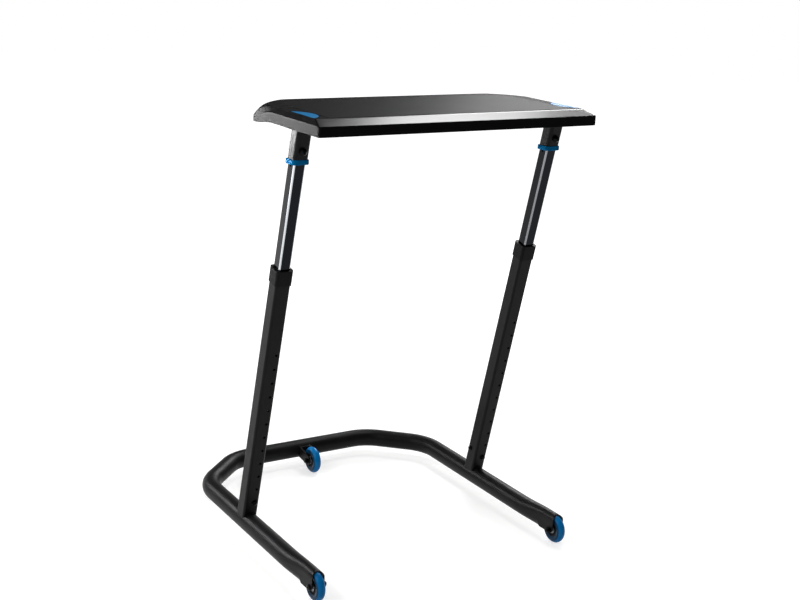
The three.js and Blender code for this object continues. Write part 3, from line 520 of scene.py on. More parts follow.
def button_bolt(name, radius, seat, tip, head_radius, head_height, place, side=-1):
    """A round-headed bolt along X with a hexagon socket, its head on the given side. The head is
    drawn in shares of its radius and height."""
    head = [(1, 0), (1, head_edge), (0.97, head_rim)]
    head += [(math.cos(a), head_rim + (1 - head_rim) * math.sin(a)) for a in
             [math.radians(15 * k) for k in range(1, 5)]]
    head += [(head_flat, 1), (0, 1)]
    profile = [(0, tip), (radius - bolt_chamfer, tip), (radius, tip - bolt_chamfer), (radius, seat)]
    profile += [(head_radius * across, seat - head_height * rise) for across, rise in head]
    turn = place @ Matrix.Rotation(math.pi, 4, "Z") if side > 0 else place
    bolt = turned(name, profile, turn, 48, closed=False)
    crown = seat - head_height
    hexagon = circle(head_radius * socket_radius, 6)
    depth = crown + head_height * socket_depth
    return carve(bolt, [prism("socket", hexagon, crown - overrun, depth, turn, "X")])


def hex_nut(name, seat, place, side=-1):
    """A hexagon nut with its corners turned off, on the far side from the head."""
    turn = place @ Matrix.Rotation(math.pi, 4, "Z") if side > 0 else place
    top = seat + nut_height
    nut = prism(name, circle(nut_radius, 6), seat, top, turn, "X")
    edge, past = nut_radius * math.cos(math.pi / 6), nut_radius + 0.2
    chamfer = turned("chamfer", [(0, seat), (edge, seat), (past, seat + nut_chamfers[0]),
                                 (past, top - nut_chamfers[1]), (edge, top), (0, top)],
                     turn, 48, closed=False)
    carve(nut, [chamfer], "INTERSECT")
    hole = prism("bore", circle(nut_bore, 32), seat - overrun, top + overrun, turn, "X")
    return carve(nut, [hole])


def paint_node(node, material):
    """Paints a piece that stays as the CAD has it."""
    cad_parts[node].material_slots[0].material = material


cast_polyurethane = cast_tread()
moulded_nylon_black = moulded_nylon()
ground_steel_bright = ground_steel()
black_oxide_steel = black_oxide()

tread_profile = [(tread_bore, hub_half), (tread_bore, -hub_half), (tread_shoulder, -hub_half)]
tread_profile += arc((wheel_radius - tread_round, 0), tread_round, -quarter, math.pi, 18)
tread_profile.append((tread_shoulder, hub_half))

dish, pocket = hub_half - hub_dish, hub_half - bearing_width - clearance
hub_profile = [(hub_radius, -hub_half), (hub_radius, hub_half), (hub_radius - hub_rim, hub_half),
               (hub_radius - hub_rim_foot, dish), (bearing_seat + seat_wall_foot, dish),
               (bearing_seat + seat_wall, hub_half), (bearing_seat, hub_half),
               (bearing_seat, pocket), (hub_bore, pocket)]
hub_profile += [(r, -x) for r, x in reversed(hub_profile[2:])]

inner_face, shield, shoulder = hub_half - bearing_width, hub_half - shield_depth, cheek_inside - clearance
bearing_profile = [
    (bore_radius, inner_face), (bearing_radius, inner_face), (bearing_radius, hub_half - race_chamfer),
    (bearing_radius - race_chamfer, hub_half), (bearing_radius - race_width, hub_half),
    (bearing_radius - race_width - shield_slope, shield), (inner_race_radius + shield_slope, shield),
    (inner_race_radius, hub_half), (shoulder_radius, hub_half), (shoulder_radius, shoulder),
    (bore_radius + shoulder_chamfer, shoulder), (bore_radius, shoulder - shoulder_chamfer)]

for wheel, (wheel_x, wheel_y) in wheel_places.items():
    hub_place = DESK @ Matrix.Translation((wheel_x, wheel_y, wheel_radius))
    body = f"{wheel}_wheel"
    tread = turned(f"{wheel}_tread_urethane", tread_profile, hub_place, 96)
    mark_flank_shade(tread, hub_place)
    fit(tread, cast_polyurethane, body, f"{wheel}_wheel_tread")
    hub = turned(f"{wheel}_hub_nylon", hub_profile, hub_place, 72)
    fit(hub, moulded_nylon_black, body, f"{wheel}_wheel_hub")
    for letter, facing in (("a", 1), ("b", -1)):
        profile = [(r, facing * x) for r, x in bearing_profile]
        bearing = turned(f"{wheel}_bearing_{letter}_steel", profile, hub_place)
        fit(bearing, ground_steel_bright, body, f"{wheel}_wheel_bearing_{letter}")
    paint_node(f"{wheel}_wheel_spacer", ground_steel_bright)

    side = bolt_head_side[wheel]
    bolt = button_bolt(f"{wheel}_axle_button_bolt", bolt_radius, -cheek_face, axle_bolt_tip,
                       *axle_bolt_head, hub_place, side)
    fit(bolt, black_oxide_steel, "base", f"{wheel}_axle_bolt")
    nut = hex_nut(f"{wheel}_axle_hex_nut", cheek_face, hub_place, side)
    fit(nut, black_oxide_steel, "base", f"{wheel}_axle_nut")


# Posts. Each outer tube is 38 mm square steel tube with rounded corners, coped to stand on its
# runner, slipped over a welded spigot and bolted, leaning towards the rider. A row of index
# holes is drilled in its front face for the height lock. Coated like the base.

post_lean = math.radians(13.64)
post_foot_y = 367
outer_side = 38
outer_corner = 6
outer_inside = (34, 4)
outer_low = -38
outer_top = 690
hole_pitch = 38
hole_count = 11
lowest_hole = 102
hole_radius = 3.3
hole_offset = 7.5
foot_bolt_height = 62
foot_screw_height = 80
foot_screw_offset = 8
screw_radius = 3
drill_reach = 30
foot_room = 50
sides_of_desk = (("left", -1), ("right", 1))


def post_foot(side):
    """Upright millimetres from the axis of the runner that a post stands on."""
    return DESK @ Matrix.Translation((side * runner_x, post_foot_y, tube_height))


def post_place(side):
    """Millimetres along a leaning post, from the axis of its runner."""
    return post_foot(side) @ Matrix.Rotation(post_lean, 4, "X")


def rounded_square(side, corner, steps=8):
    inner = side / 2 - corner
    outline = []
    for i, (sx, sy) in enumerate(((1, 1), (-1, 1), (-1, -1), (1, -1))):
        outline += arc((sx * inner, sy * inner), corner, i * quarter, quarter, steps)
    return outline


def square_tube(name, outside, inside, low, high, place):
    """A tube between two rounded squares, each given by its side and its corner radius."""
    outer, inner = rounded_square(*outside), rounded_square(*inside)
    rings = [(outer, low), (outer, high), (inner, high), (inner, low)]
    points = [(x, y, z) for outline, z in rings for x, y in outline]
    return mesh_piece(name, points, bands(len(rings), len(outer)), place)


def front_drill(radius, offset, height, place, sides=32):
    """A drill through the front wall of a tube."""
    return prism("front_drill", circle(radius, sides, (height, offset)), -drill_reach, 0, place, "Y")


def index_drills(place):
    """A column of drill cylinders, one for each index hole, made by a node tree."""
    tree = bpy.data.node_groups.new("index_hole_drills", "GeometryNodeTree")
    sizes = {"Count": hole_count, "Pitch": float(hole_pitch), "Radius": float(hole_radius)}
    for name in sizes:
        kind = "NodeSocketInt" if name == "Count" else "NodeSocketFloat"
        tree.interface.new_socket(name, in_out="INPUT", socket_type=kind)
    tree.interface.new_socket("Geometry", in_out="OUTPUT", socket_type="NodeSocketGeometry")
    given = add_node(tree, "NodeGroupInput").outputs
    step = add_node(tree, "ShaderNodeCombineXYZ", {"Z": given["Pitch"]})
    column = add_node(tree, "GeometryNodeMeshLine", {"Count": given["Count"], "Offset": step.outputs[0]})
    drill = add_node(tree, "GeometryNodeMeshCylinder", {
        "Vertices": 32, "Radius": given["Radius"], "Depth": 24.0})
    drills = add_node(tree, "GeometryNodeInstanceOnPoints", {
        "Points": column.outputs["Mesh"], "Instance": drill.outputs["Mesh"], "Rotation": (quarter, 0, 0)})
    real = add_node(tree, "GeometryNodeRealizeInstances", {"Geometry": drills.outputs["Instances"]})
    painted = add_node(tree, "GeometryNodeSetMaterial", {
        "Geometry": real.outputs["Geometry"], "Material": powder_coated_steel})
    add_node(tree, "NodeGroupOutput", {"Geometry": painted.outputs["Geometry"]})
    holder = bpy.data.objects.new("index_drills", bpy.data.meshes.new("index_drills"))
    bpy.context.scene.collection.objects.link(holder)
    maker = holder.modifiers.new("drills", "NODES")
    maker.node_group = tree
    for item in tree.interface.items_tree:
        if item.name in sizes:
            maker[item.identifier] = sizes[item.name]
    bake_modifiers(holder)
    holder.data.transform(place @ Matrix.Translation((hole_offset, -outer_side / 2, lowest_hole)))
    return holder


def foot_cutters(side):
    """The cope round the runner, and what hangs below the runner's axis."""
    foot = post_foot(side)
    cope = prism("cope", circle(cope_radius, 64), -foot_room, foot_room, foot, "Y")
    below = box("below", (-foot_room, -foot_room, -foot_room), (foot_room, foot_room, 0), foot)
    return [cope, below]


for name, side in sides_of_desk:
    place = post_place(side)
    tube = square_tube(f"{name}_outer_tube_steel", (outer_side, outer_corner), outer_inside,
                       outer_low, outer_top, place)
    bolt_drill = front_drill(bolt_hole_radius, hole_offset, foot_bolt_height, place, 24)
    screw_hole = circle(screw_radius + clearance, 24, (foot_screw_offset, foot_screw_height))
    screw_drill = prism("screw_drill", screw_hole, *sorted((0, -side * drill_reach)), place, "X")
    carve(tube, foot_cutters(side) + [bolt_drill, screw_drill, index_drills(place)])
    soften(tube, 0.4)
    fit(tube, powder_coated_steel, "base", f"{name}_outer_tube")
    paint_node(f"{name}_post_spigot", powder_coated_steel)


# Foot fasteners. A round-headed bolt in the front of each post, in line with the index holes,
# and a smaller screw in its inner side hold it on the spigot. Both are black oxide steel.

head_gap = 0.1
foot_seat = -outer_side / 2 - head_gap
foot_tip = -13.7
foot_bolt_head = (7, 5)
foot_screw_head = (6, 4.5)


def facing_front(place, offset, height):
    """Turns what lies along X so that its head faces the rider, on the front of a post."""
    return place @ Matrix.Translation((offset, 0, height)) @ Matrix.Rotation(quarter, 4, "Z")


for name, side in sides_of_desk:
    place = post_place(side)
    front = facing_front(place, hole_offset, foot_bolt_height)
    bolt = button_bolt(f"{name}_foot_button_bolt", bolt_radius, foot_seat, foot_tip, *foot_bolt_head, front)
    fit(bolt, black_oxide_steel, "base", f"{name}_foot_bolt")
    inner = place @ Matrix.Translation((0, foot_screw_offset, foot_screw_height))
    screw = button_bolt(f"{name}_foot_button_screw", screw_radius, foot_seat, foot_tip,
                        *foot_screw_head, inner, -side)
    fit(screw, black_oxide_steel, "base", f"{name}_foot_screw")


# Guide collars. A black nylon cap is pressed over the top of each outer tube, and its inside
# is the sleeve that the inner tube slides in.

collar_outside = (42, 7)
collar_bottom = 664
collar_top = 702
collar_room_corner = 6.2
collar_room_inside = (33.4, 4)
inner_side = 30
inner_corner = 5
sliding_fit = (inner_side + 2 * clearance, inner_corner + clearance)

for name, side in sides_of_desk:
    place = post_place(side)
    collar = square_tube(f"{name}_collar_nylon", collar_outside, sliding_fit,
                         collar_bottom, collar_top, place)
    room = square_tube("room", (outer_side + clearance, collar_room_corner), collar_room_inside,
                       collar_bottom - overrun, outer_top + clearance, place)
    carve(collar, [room])
    soften(collar, 0.9, 3)
    fit(collar, moulded_nylon_black, "base", f"{name}_guide_collar")


# Inner tubes. 30 mm square steel tube with rounded corners, plated in dark chrome so that it
# slides freely. Inside run the release rod, its wedge and the lock pin, in a nylon guide block.

inner_inside = (27, 3.5)
inner_low = 322
inner_high = 1008
pin_height = 330
pin_hole_radius = 3.2
bar_height = 961
bar_room = 3.3
ring_travel = 8
bracket_bolt_height = 991
# Painted highlight on the inner tubes' front corners: its strength on each tube, stronger on the left, and
# where across the corner it fades in.
corner_highlight = {"left": 1, "right": 0.4}
highlight_edge = (0.2, 0.4)


def dark_chrome():
    """Black chrome plate on drawn tube: a near mirror that is nearly black, with faint draw
    lines along the tube and a thin haze of grease from the sliding fit. The front corners are
    painted a bright grey, as a painted highlight stripe along them."""
    material, tree, place = new_material("black_chrome_plate")
    corner = add_node(tree, "ShaderNodeAttribute", attribute_name="corner").outputs["Fac"]
    # The front corners are mixed to a bright grey by the corner attribute: a painted highlight.
    colour = add_node(tree, "ShaderNodeMix", {
        "Factor": corner, "A": linear("#1c1d20"), "B": linear("#c8cbcf")}, data_type="RGBA")
    stretched = add_node(tree, "ShaderNodeMapping", {"Vector": place, "Scale": (1, 1, 0.02)})
    lines = add_node(tree, "ShaderNodeTexNoise", {
        "Vector": stretched.outputs["Vector"], "Scale": grains_per_metre(1.5), "Detail": 2})
    haze = add_node(tree, "ShaderNodeTexNoise", {
        "Vector": place, "Scale": grains_per_metre(60), "Detail": 4, "Roughness": 0.6})
    gloss = add_node(tree, "ShaderNodeMapRange", {
        "Value": haze.outputs["Fac"], "From Min": 0.3, "From Max": 0.7, "To Min": 0.05, "To Max": 0.09})
    bump = add_node(tree, "ShaderNodeBump", {
        "Height": lines.outputs["Fac"], "Strength": 0.02, "Distance": 0.0001})
    shader = add_node(tree, "ShaderNodeBsdfPrincipled", {
        "Base Color": colour.outputs["Result"], "Metallic": 1, "Roughness": gloss.outputs["Result"],
        "Normal": bump.outputs["Normal"]})
    add_node(tree, "ShaderNodeOutputMaterial", {"Surface": shader.outputs["BSDF"]})
    return material


def mark_corner_highlights(piece, place, highlight_strength):
    """Writes how bright the painted highlight is at each point, which is 0 but in the front corners of the
    square tube.
    """
    attribute = piece.data.attributes.new("corner", "FLOAT", "POINT")
    back = place.inverted()
    flat = inner_side / 2 - inner_corner
    for i, point in enumerate(piece.data.vertices):
        x, y, z = back @ point.co
        into = min(abs(x), -y) - flat
        attribute.data[i].value = highlight_strength * smooth_step(into / inner_corner, *highlight_edge)


black_chrome_plate = dark_chrome()

for name, side in sides_of_desk:
    place = post_place(side)
    tube = square_tube(f"{name}_inner_tube_chrome", (inner_side, inner_corner), inner_inside,
                       inner_low, inner_high, place)
    low, high = bar_height - ring_travel - bar_room, bar_height + bar_room
    slot = [(-bar_room, low), (bar_room, low), (bar_room, high), (-bar_room, high)]
    carve(tube, [front_drill(pin_hole_radius, hole_offset, pin_height, place),
                 front_drill(bolt_hole_radius, 0, bracket_bolt_height, place),
                 prism("slot", slot, -drill_reach, drill_reach, place, "X")])
    soften(tube, 0.3)
    mark_corner_highlights(tube, place, corner_highlight[name])
    fit(tube, black_chrome_plate, "carriage", f"{name}_inner_tube")
    paint_node(f"{name}_pin_block", moulded_nylon_black)
    paint_node(f"{name}_lock_pin", ground_steel_bright)
    paint_node(f"{name}_release_rod", ground_steel_bright)


# Release rings. A bright blue acetal ring, level like the tabletop, slides on each inner tube
# just below its bracket. It is pinned to the rod inside, and is moved by hand to free the lock.

ring_side = 42
ring_corner = 9
ring_height = 11
bar_reach = 18.3


def level_place(place, height):
    """Level again, at a height along a leaning post."""
    return place @ Matrix.Translation((0, 0, height)) @ Matrix.Rotation(-post_lean, 4, "X")


def moulded_acetal():
    """Acetal: injection moulded in a finely blasted tool, so it is a bright even blue with a
    satin gloss and slight flow marks."""
    material, tree, place = new_material("moulded_acetal")
    flow = add_node(tree, "ShaderNodeTexNoise", {
        "Vector": place, "Scale": grains_per_metre(14), "Detail": 3, "Roughness": 0.5})
    colour = add_node(tree, "ShaderNodeMix", {
        "Factor": flow.outputs["Fac"], "A": linear("#036398"), "B": linear("#0674ac")},
        data_type="RGBA")
    gloss = add_node(tree, "ShaderNodeMapRange", {
        "Value": flow.outputs["Fac"], "To Min": 0.4, "To Max": 0.5})
    grain = add_node(tree, "ShaderNodeTexNoise", {
        "Vector": place, "Scale": grains_per_metre(0.9), "Detail": 1})
    bump = add_node(tree, "ShaderNodeBump", {
        "Height": grain.outputs["Fac"], "Strength": 0.1, "Distance": 0.0001})
    shader = add_node(tree, "ShaderNodeBsdfPrincipled", {
        "Base Color": colour.outputs["Result"], "Roughness": gloss.outputs["Result"],
        "Normal": bump.outputs["Normal"], "IOR": 1.48, "Specular IOR Level": 0.02})
    add_node(tree, "ShaderNodeOutputMaterial", {"Surface": shader.outputs["BSDF"]})
    return material


moulded_acetal_blue = moulded_acetal()

for name, side in sides_of_desk:
    place = post_place(side)
    ring = prism(f"{name}_release_ring_acetal", rounded_square(ring_side, ring_corner),
                 -ring_height / 2, ring_height / 2, level_place(place, bar_height))
    bore = prism("bore", rounded_square(*sliding_fit), bar_height - ring_side, bar_height + ring_side, place)
    room = prism("bar_room", circle(bar_room, 24, (0, bar_height)), -bar_reach, bar_reach, place, "X")
    carve(ring, [bore, room])
    soften(ring, 1.6, 4)
    fit(ring, moulded_acetal_blue, f"{name}_release", f"{name}_release_ring")


# Brackets. A 36 mm square sleeve is welded to a level steel plate. The sleeve takes the top of
# the inner tube and is held by a round-headed bolt from the front, and the plate is screwed to
# the underside of the tabletop.

bracket_side = 36
bracket_corner = 8
bracket_low = 967
bracket_seat = -bracket_side / 2 - head_gap
bracket_tip = -13.5
bracket_bolt_head = (8, 11)
trim_side = 45
trim_foot = 30
trim_depth = 60
hollow_overrun = 40
plate_level = 1054.7
plate_thickness = 5
inner_reach = 38
outer_reach = 18
front_reach = 34
rear_reach = 48
screw_inset = 8
screw_rows = (screw_inset - front_reach, rear_reach - screw_inset)
plate_screw_radius = 2.5
plate_screw_head = (5, 2.6)
plate_screw_reach = 12
plate_drill_reach = 12
plate_height = (plate_level - tube_height) / math.cos(post_lean)

for name, side in sides_of_desk:
    place = post_place(side)
    level, foot = level_place(place, plate_height), level_place(place, bracket_low)
    sleeve = prism(f"{name}_bracket_steel", rounded_square(bracket_side, bracket_corner),
                   bracket_low - drill_reach, plate_height + drill_reach, place)
    reach = sorted((-side * inner_reach, side * outer_reach))
    plate = box("plate", (reach[0], -front_reach, -plate_thickness), (reach[1], rear_reach, 0), level)
    carve(sleeve, [plate], "UNION")
    above = box("above", (-trim_side, -trim_depth, 0), (trim_side, trim_depth, trim_depth), level)
    below = box("below", (-trim_foot, -trim_foot, -trim_depth), (trim_foot, trim_foot, 0), foot)
    hollow = prism("hollow", rounded_square(*sliding_fit),
                   bracket_low - hollow_overrun, inner_high + clearance, place)
    bolt_drill = front_drill(bolt_hole_radius, 0, bracket_bolt_height, place)
    screws = [(-side * (inner_reach - screw_inset), y) for y in screw_rows]
    drills = [prism("drill", circle(plate_screw_radius + clearance, 24, spot),
                    -plate_drill_reach, overrun, level) for spot in screws]
    carve(sleeve, [above, below, hollow, bolt_drill] + drills)
    soften(sleeve, 0.5)
    fit(sleeve, powder_coated_steel, "carriage", f"{name}_bracket")

    front = facing_front(place, 0, bracket_bolt_height)
    bolt = button_bolt(f"{name}_bracket_button_bolt", bolt_radius, bracket_seat, bracket_tip,
                       *bracket_bolt_head, front)
    fit(bolt, black_oxide_steel, "carriage", f"{name}_bracket_bolt")
    for letter, (x, y) in zip("ab", screws):
        up = level @ Matrix.Translation((x, y, 0)) @ Matrix.Rotation(-quarter, 4, "Y")
        screw = button_bolt(f"{name}_plate_button_screw_{letter}", plate_screw_radius,
                            -plate_thickness - head_gap, plate_screw_reach, *plate_screw_head, up)
        fit(screw, black_oxide_steel, "carriage", f"{name}_plate_screw_{letter}")


# Tabletop. One black moulded board with a bevelled edge all round: a broad strip along the
# front, narrow at the sides, and curling down to a thin lip at the rear. Pockets in its top
# take the mat and the two inserts.

deck_crest = 1086
deck_rim = 1075
deck_bottom = 1052
deck_underside = 1055
deck_lip = 6
rear_rim = 1057
rear_bottom = 1043
curl_start = 215
side_end = 312
corner_radius = 7
foot_edge = ((1.5, 0), (0.45, 0.45), (0, 1.5))
edge_round = 0.8
bevel_start = 0.012
rear_bulge = 6
board_top = 1095
pilot_low = 1050
pilot_high = 1067
strip_tilt = -0.2
square_on = 0.8
side_gloss = 0.2

# The outer rim and the crest of the bevel, in the order that half_outline takes its sizes
rim_sizes = (365, -1, side_end, 308, 370, 3)
crest_sizes = (354, 36, 262, 281, 338, 6)


def half_outline(half_width, front, straight_end, rear_half_width, rear, swell_size):
    """Half the outline of the board, on the +X side, from front to rear."""
    points = arc((half_width - corner_radius, front + corner_radius), corner_radius, -quarter, quarter, 8)
    straight = straight_end - front - corner_radius
    points += [(half_width, front + corner_radius + straight * i / 40) for i in range(1, 40)]
    for i in range(25):
        share = i / 24
        swell = math.sin(math.pi * share) * swell_size
        points.append((half_width + (rear_half_width - half_width) * share + swell,
                       straight_end + (rear - straight_end) * share + swell))
    return points + [(rear_half_width * (1 - i / 12), rear) for i in range(1, 12)]


def whole_outline(half):
    return half + [(-x, y) for x, y in reversed(half)]


def relaxed(outline, passes):
    """Eases the corners where straight and curved stretches meet."""
    for _ in range(passes):
        n = len(outline)
        outline = [tuple(0.25 * outline[i - 1][k] + 0.5 * outline[i][k] + 0.25 * outline[(i + 1) % n][k]
                         for k in (0, 1)) for i in range(n)]
    return outline


def inset_outline(outline, distance):
    n = len(outline)
    moved = []
    for i, (x, y) in enumerate(outline):
        along = (Vector(outline[(i + 1) % n]) - Vector(outline[i - 1])).normalized()
        moved.append((x - along.y * distance, y + along.x * distance))
    return moved


def curl(y):
    return smooth_step(y, curl_start, side_end)


def deck_mesh(steps=10):
    """The board as loops of points: down inside its edge, round the foot, up the side and in over
    the bevel to the crest, which the flat top closes."""
    rim = relaxed(whole_outline(half_outline(*rim_sizes)), 3)
    crest = relaxed(whole_outline(half_outline(*crest_sizes)), 3)
    lip = inset_outline(rim, deck_lip)
    rims = [deck_rim + (rear_rim - deck_rim) * curl(y) for x, y in rim]
    bottoms = [deck_bottom + (rear_bottom - deck_bottom) * curl(y) for x, y in rim]
    loops = [[(x, y, deck_underside) for x, y in lip]]
    insets = ((deck_lip, edge_round), (deck_lip - edge_round, 0)) + foot_edge
    for inset, rise in insets:
        loops.append([(x, y, bottoms[i] + rise) for i, (x, y) in enumerate(inset_outline(rim, inset))])
    loops.append([(x, y, rims[i] - edge_round) for i, (x, y) in enumerate(rim)])
    for k in range(steps + 1):
        loop = []
        for (x, y), (cx, cy), z in zip(rim, crest, rims):
            bulge = math.sin(math.pi * k / steps) * rear_bulge * curl(y)
            share = bevel_start + (1 - bevel_start) * k / steps
            loop.append((x + (cx - x) * share, y + (cy - y) * share, z + (deck_crest - z) * share + bulge))
        loops.append(loop)
    points = [p for loop in loops for p in loop]
    n = len(rim)
    faces = bands(len(loops), n, closed=False)
    faces += [tuple(range(n - 1, -1, -1)), tuple(range(len(points) - n, len(points)))]
    return mesh_piece("tabletop_board", points, faces)


def moulded_board():
    """The board's plastic: structural foam ABS in black. The mould is etched, so the board is matt
    and finely grained, but for the front strip and the sides, which have a smooth satin gloss."""
    material, tree, place = new_material("moulded_abs_board")
    texture = add_node(tree, "ShaderNodeTexNoise", {
        "Vector": place, "Scale": grains_per_metre(1.1), "Detail": 3, "Roughness": 0.6})
    rub = add_node(tree, "ShaderNodeTexNoise", {
        "Vector": place, "Scale": grains_per_metre(90), "Detail": 5, "Roughness": 0.65})
    colour = add_node(tree, "ShaderNodeMix", {
        "Factor": rub.outputs["Fac"], "A": linear("#0d0d0e"), "B": linear("#141415")},
        data_type="RGBA")
    smooth = add_node(tree, "ShaderNodeAttribute", attribute_name="smooth").outputs["Fac"]
    etched = add_node(tree, "ShaderNodeMapRange", {
        "Value": rub.outputs["Fac"], "From Min": 0.3, "From Max": 0.7, "To Min": 0.56, "To Max": 0.64})
    gloss = add_node(tree, "ShaderNodeMix", {"Factor": smooth, "A": etched.outputs["Result"], "B": 0.3})
    grain = add_node(tree, "ShaderNodeMapRange", {"Value": smooth, "To Min": 0.4, "To Max": 0.05})
    bump = add_node(tree, "ShaderNodeBump", {
        "Height": texture.outputs["Fac"], "Strength": grain.outputs["Result"], "Distance": 0.0002})
    sheen = add_node(tree, "ShaderNodeMapRange", {"Value": smooth, "To Min": 0.01, "To Max": 0.1})
    shader = add_node(tree, "ShaderNodeBsdfPrincipled", {
        "Base Color": colour.outputs["Result"], "Roughness": gloss.outputs["Result"],
        "Normal": bump.outputs["Normal"], "IOR": 1.52, "Specular IOR Level": sheen.outputs["Result"]})
    add_node(tree, "ShaderNodeOutputMaterial", {"Surface": shader.outputs["BSDF"]})
    return material


def mark_smooth_faces(board):
    """Marks the bevel along the front, which slopes towards the rider, and the upright sides."""
    attribute = board.data.attributes.new("smooth", "FLOAT", "FACE")
    front = crest_sizes[1] * MM + DESK.translation.y
    for face in board.data.polygons:
        on_strip = face.normal.y < strip_tilt and face.normal.z > square_on and face.center.y < front
        on_side = abs(face.normal.x) > square_on
        attribute.data[face.index].value = 1 if on_strip else side_gloss if on_side else 0


def rounded_outline(corners, radius, steps=8):
    """A polygon with its corners rounded by quadratic curves."""
    outline = []
    n = len(corners)
    for i, corner in enumerate(corners):
        middle = Vector(corner)
        enter = middle + (Vector(corners[i - 1]) - middle).normalized() * radius
        leave = middle + (Vector(corners[(i + 1) % n]) - middle).normalized() * radius
        for k in range(steps + 1):
            t = k / steps
            outline.append(tuple(enter * (1 - t) ** 2 + middle * 2 * t * (1 - t) + leave * t ** 2))
    return outline


mat_top = 1086.6
mat_thickness = 2.3
mat_half_width = 319
mat_rear_half_width = 281
mat_front = 38
mat_side_end = 277
mat_rear = 306
mat_corner = 4


def mat_outline(margin):
    side, rear_side = mat_half_width + margin, mat_rear_half_width + margin / 2
    half = [(side, mat_front - margin), (side, mat_side_end + margin / 2), (rear_side, mat_rear + margin)]
    return rounded_outline(whole_outline(half), mat_corner)


insert_top = 1086.5
insert_thickness = 4
insert_chord = 351.5
insert_start = 48
insert_end = 152
insert_bulge = 30.5


def insert_outline(side, margin):
    """A half-moon with its straight edge beside the edge of the board."""
    half_chord = (insert_end - insert_start) / 2
    bow = (half_chord ** 2 + insert_bulge ** 2) / (2 * insert_bulge)
    centre = (insert_chord - insert_bulge + bow, (insert_start + insert_end) / 2)
    sweep = math.acos((centre[0] - insert_chord - margin) / (bow + margin))
    return [(side * x, y) for x, y in arc(centre, bow + margin, math.pi - sweep, 2 * sweep, 40)]


moulded_abs_board = moulded_board()
board = deck_mesh()
pockets = [prism("mat_pocket", mat_outline(clearance), mat_top - mat_thickness - clearance, board_top)]
plate_y = post_foot_y - plate_height * math.sin(post_lean)
pilots = []
for name, side in sides_of_desk:
    pockets.append(prism("insert_pocket", insert_outline(side, clearance),
                         insert_top - insert_thickness - clearance, board_top))
    for y in screw_rows:
        spot = (side * (runner_x - inner_reach + screw_inset), plate_y + y)
        pilots.append(prism("pilot", circle(plate_screw_radius + clearance, 24, spot), pilot_low, pilot_high))
carve(board, pockets)
carve(board, pilots)
mark_smooth_faces(board)
fit(board, moulded_abs_board, "carriage", "tabletop", crease=24)


# Mat. A soft black non-slip sheet is laid in the tabletop's shallow pocket and stands a little
# above the board.

def rubber_sheet():
    """Foamed rubber sheet with an embossed leather-like grain: matt, soft and slightly grey,
    because its grain scatters light."""
    material, tree, place = new_material("rubber_mat_sheet")
    grain = add_node(tree, "ShaderNodeTexVoronoi", {
        "Vector": place, "Scale": grains_per_metre(2.2)}, feature="DISTANCE_TO_EDGE")
    bed = add_node(tree, "ShaderNodeTexNoise", {
        "Vector": place, "Scale": grains_per_metre(70), "Detail": 4, "Roughness": 0.6})
    colour = add_node(tree, "ShaderNodeMix", {
        "Factor": bed.outputs["Fac"], "A": linear("#131314"), "B": linear("#19191a")},
        data_type="RGBA")
    bump = add_node(tree, "ShaderNodeBump", {
        "Height": grain.outputs["Distance"], "Strength": 0.12, "Distance": 0.0003})
    shader = add_node(tree, "ShaderNodeBsdfPrincipled", {
        "Base Color": colour.outputs["Result"], "Roughness": 0.54,
        "Normal": bump.outputs["Normal"], "IOR": 1.5, "Specular IOR Level": 0.01})
    add_node(tree, "ShaderNodeOutputMaterial", {"Surface": shader.outputs["BSDF"]})
    return material


rubber_mat_sheet = rubber_sheet()
mat = prism("mat_rubber_sheet", mat_outline(0), mat_top - mat_thickness, mat_top)
soften(mat, 0.5, 3)
fit(mat, rubber_mat_sheet, "carriage", "table_mat")


# Inserts. Two half-moons of the same blue acetal as the rings are pressed into the board
# beside the mat, near the front corners.

for name, side in sides_of_desk:
    insert = prism(f"{name}_insert_acetal", insert_outline(side, 0),
                   insert_top - insert_thickness, insert_top)
    soften(insert, 0.6, 3)
    fit(insert, moulded_acetal_blue, "carriage", f"{name}_insert")


# Floor and light. A plain pale floor that fades into an even white surround away from the desk,
# as in a product studio. Large soft lamps stand to the left and behind, and smaller ones light
# the front strip, the board's left side and the left runner.

def pale_floor():
    """Painted studio floor: a soft grey that the camera sees lifted to white, so that only the
    desk's shadow shows on it."""
    material, tree, place = new_material("studio_floor")
    tone = add_node(tree, "ShaderNodeTexNoise", {
        "Vector": place, "Scale": grains_per_metre(900), "Detail": 2})
    colour = add_node(tree, "ShaderNodeMix", {
        "Factor": tone.outputs["Fac"], "A": linear("#c4c4c3"), "B": linear("#c8c8c7")},
        data_type="RGBA")
    paint = add_node(tree, "ShaderNodeBsdfPrincipled", {
        "Base Color": colour.outputs["Result"], "Roughness": 0.8, "Specular IOR Level": 0})
    away = add_node(tree, "ShaderNodeVectorMath", {0: place}, operation="LENGTH")
    lift = add_node(tree, "ShaderNodeMapRange", {
        "Value": away.outputs["Value"], "From Min": 0.9, "From Max": 2.6, "To Min": 0.6, "To Max": 1.0})
    rays = add_node(tree, "ShaderNodeLightPath").outputs
    seen = add_node(tree, "ShaderNodeMath", {
        0: rays["Is Camera Ray"], 1: rays["Is Glossy Ray"]}, operation="MAXIMUM")
    seen = add_node(tree, "ShaderNodeMath", {
        0: seen.outputs[0], 1: rays["Is Transmission Ray"]}, operation="MAXIMUM")
    strength = add_node(tree, "ShaderNodeMath", {
        0: lift.outputs["Result"], 1: seen.outputs[0]}, operation="MULTIPLY")
    glow = add_node(tree, "ShaderNodeEmission", {"Color": (1, 1, 1, 1), "Strength": strength.outputs[0]})
    both = add_node(tree, "ShaderNodeAddShader", {0: paint.outputs[0], 1: glow.outputs[0]})
    add_node(tree, "ShaderNodeOutputMaterial", {"Surface": both.outputs[0]})
    return material


floor = box("studio_floor", (-9000, -8000, -10), (9000, 12000, -0.2))
floor.data.materials.append(pale_floor())


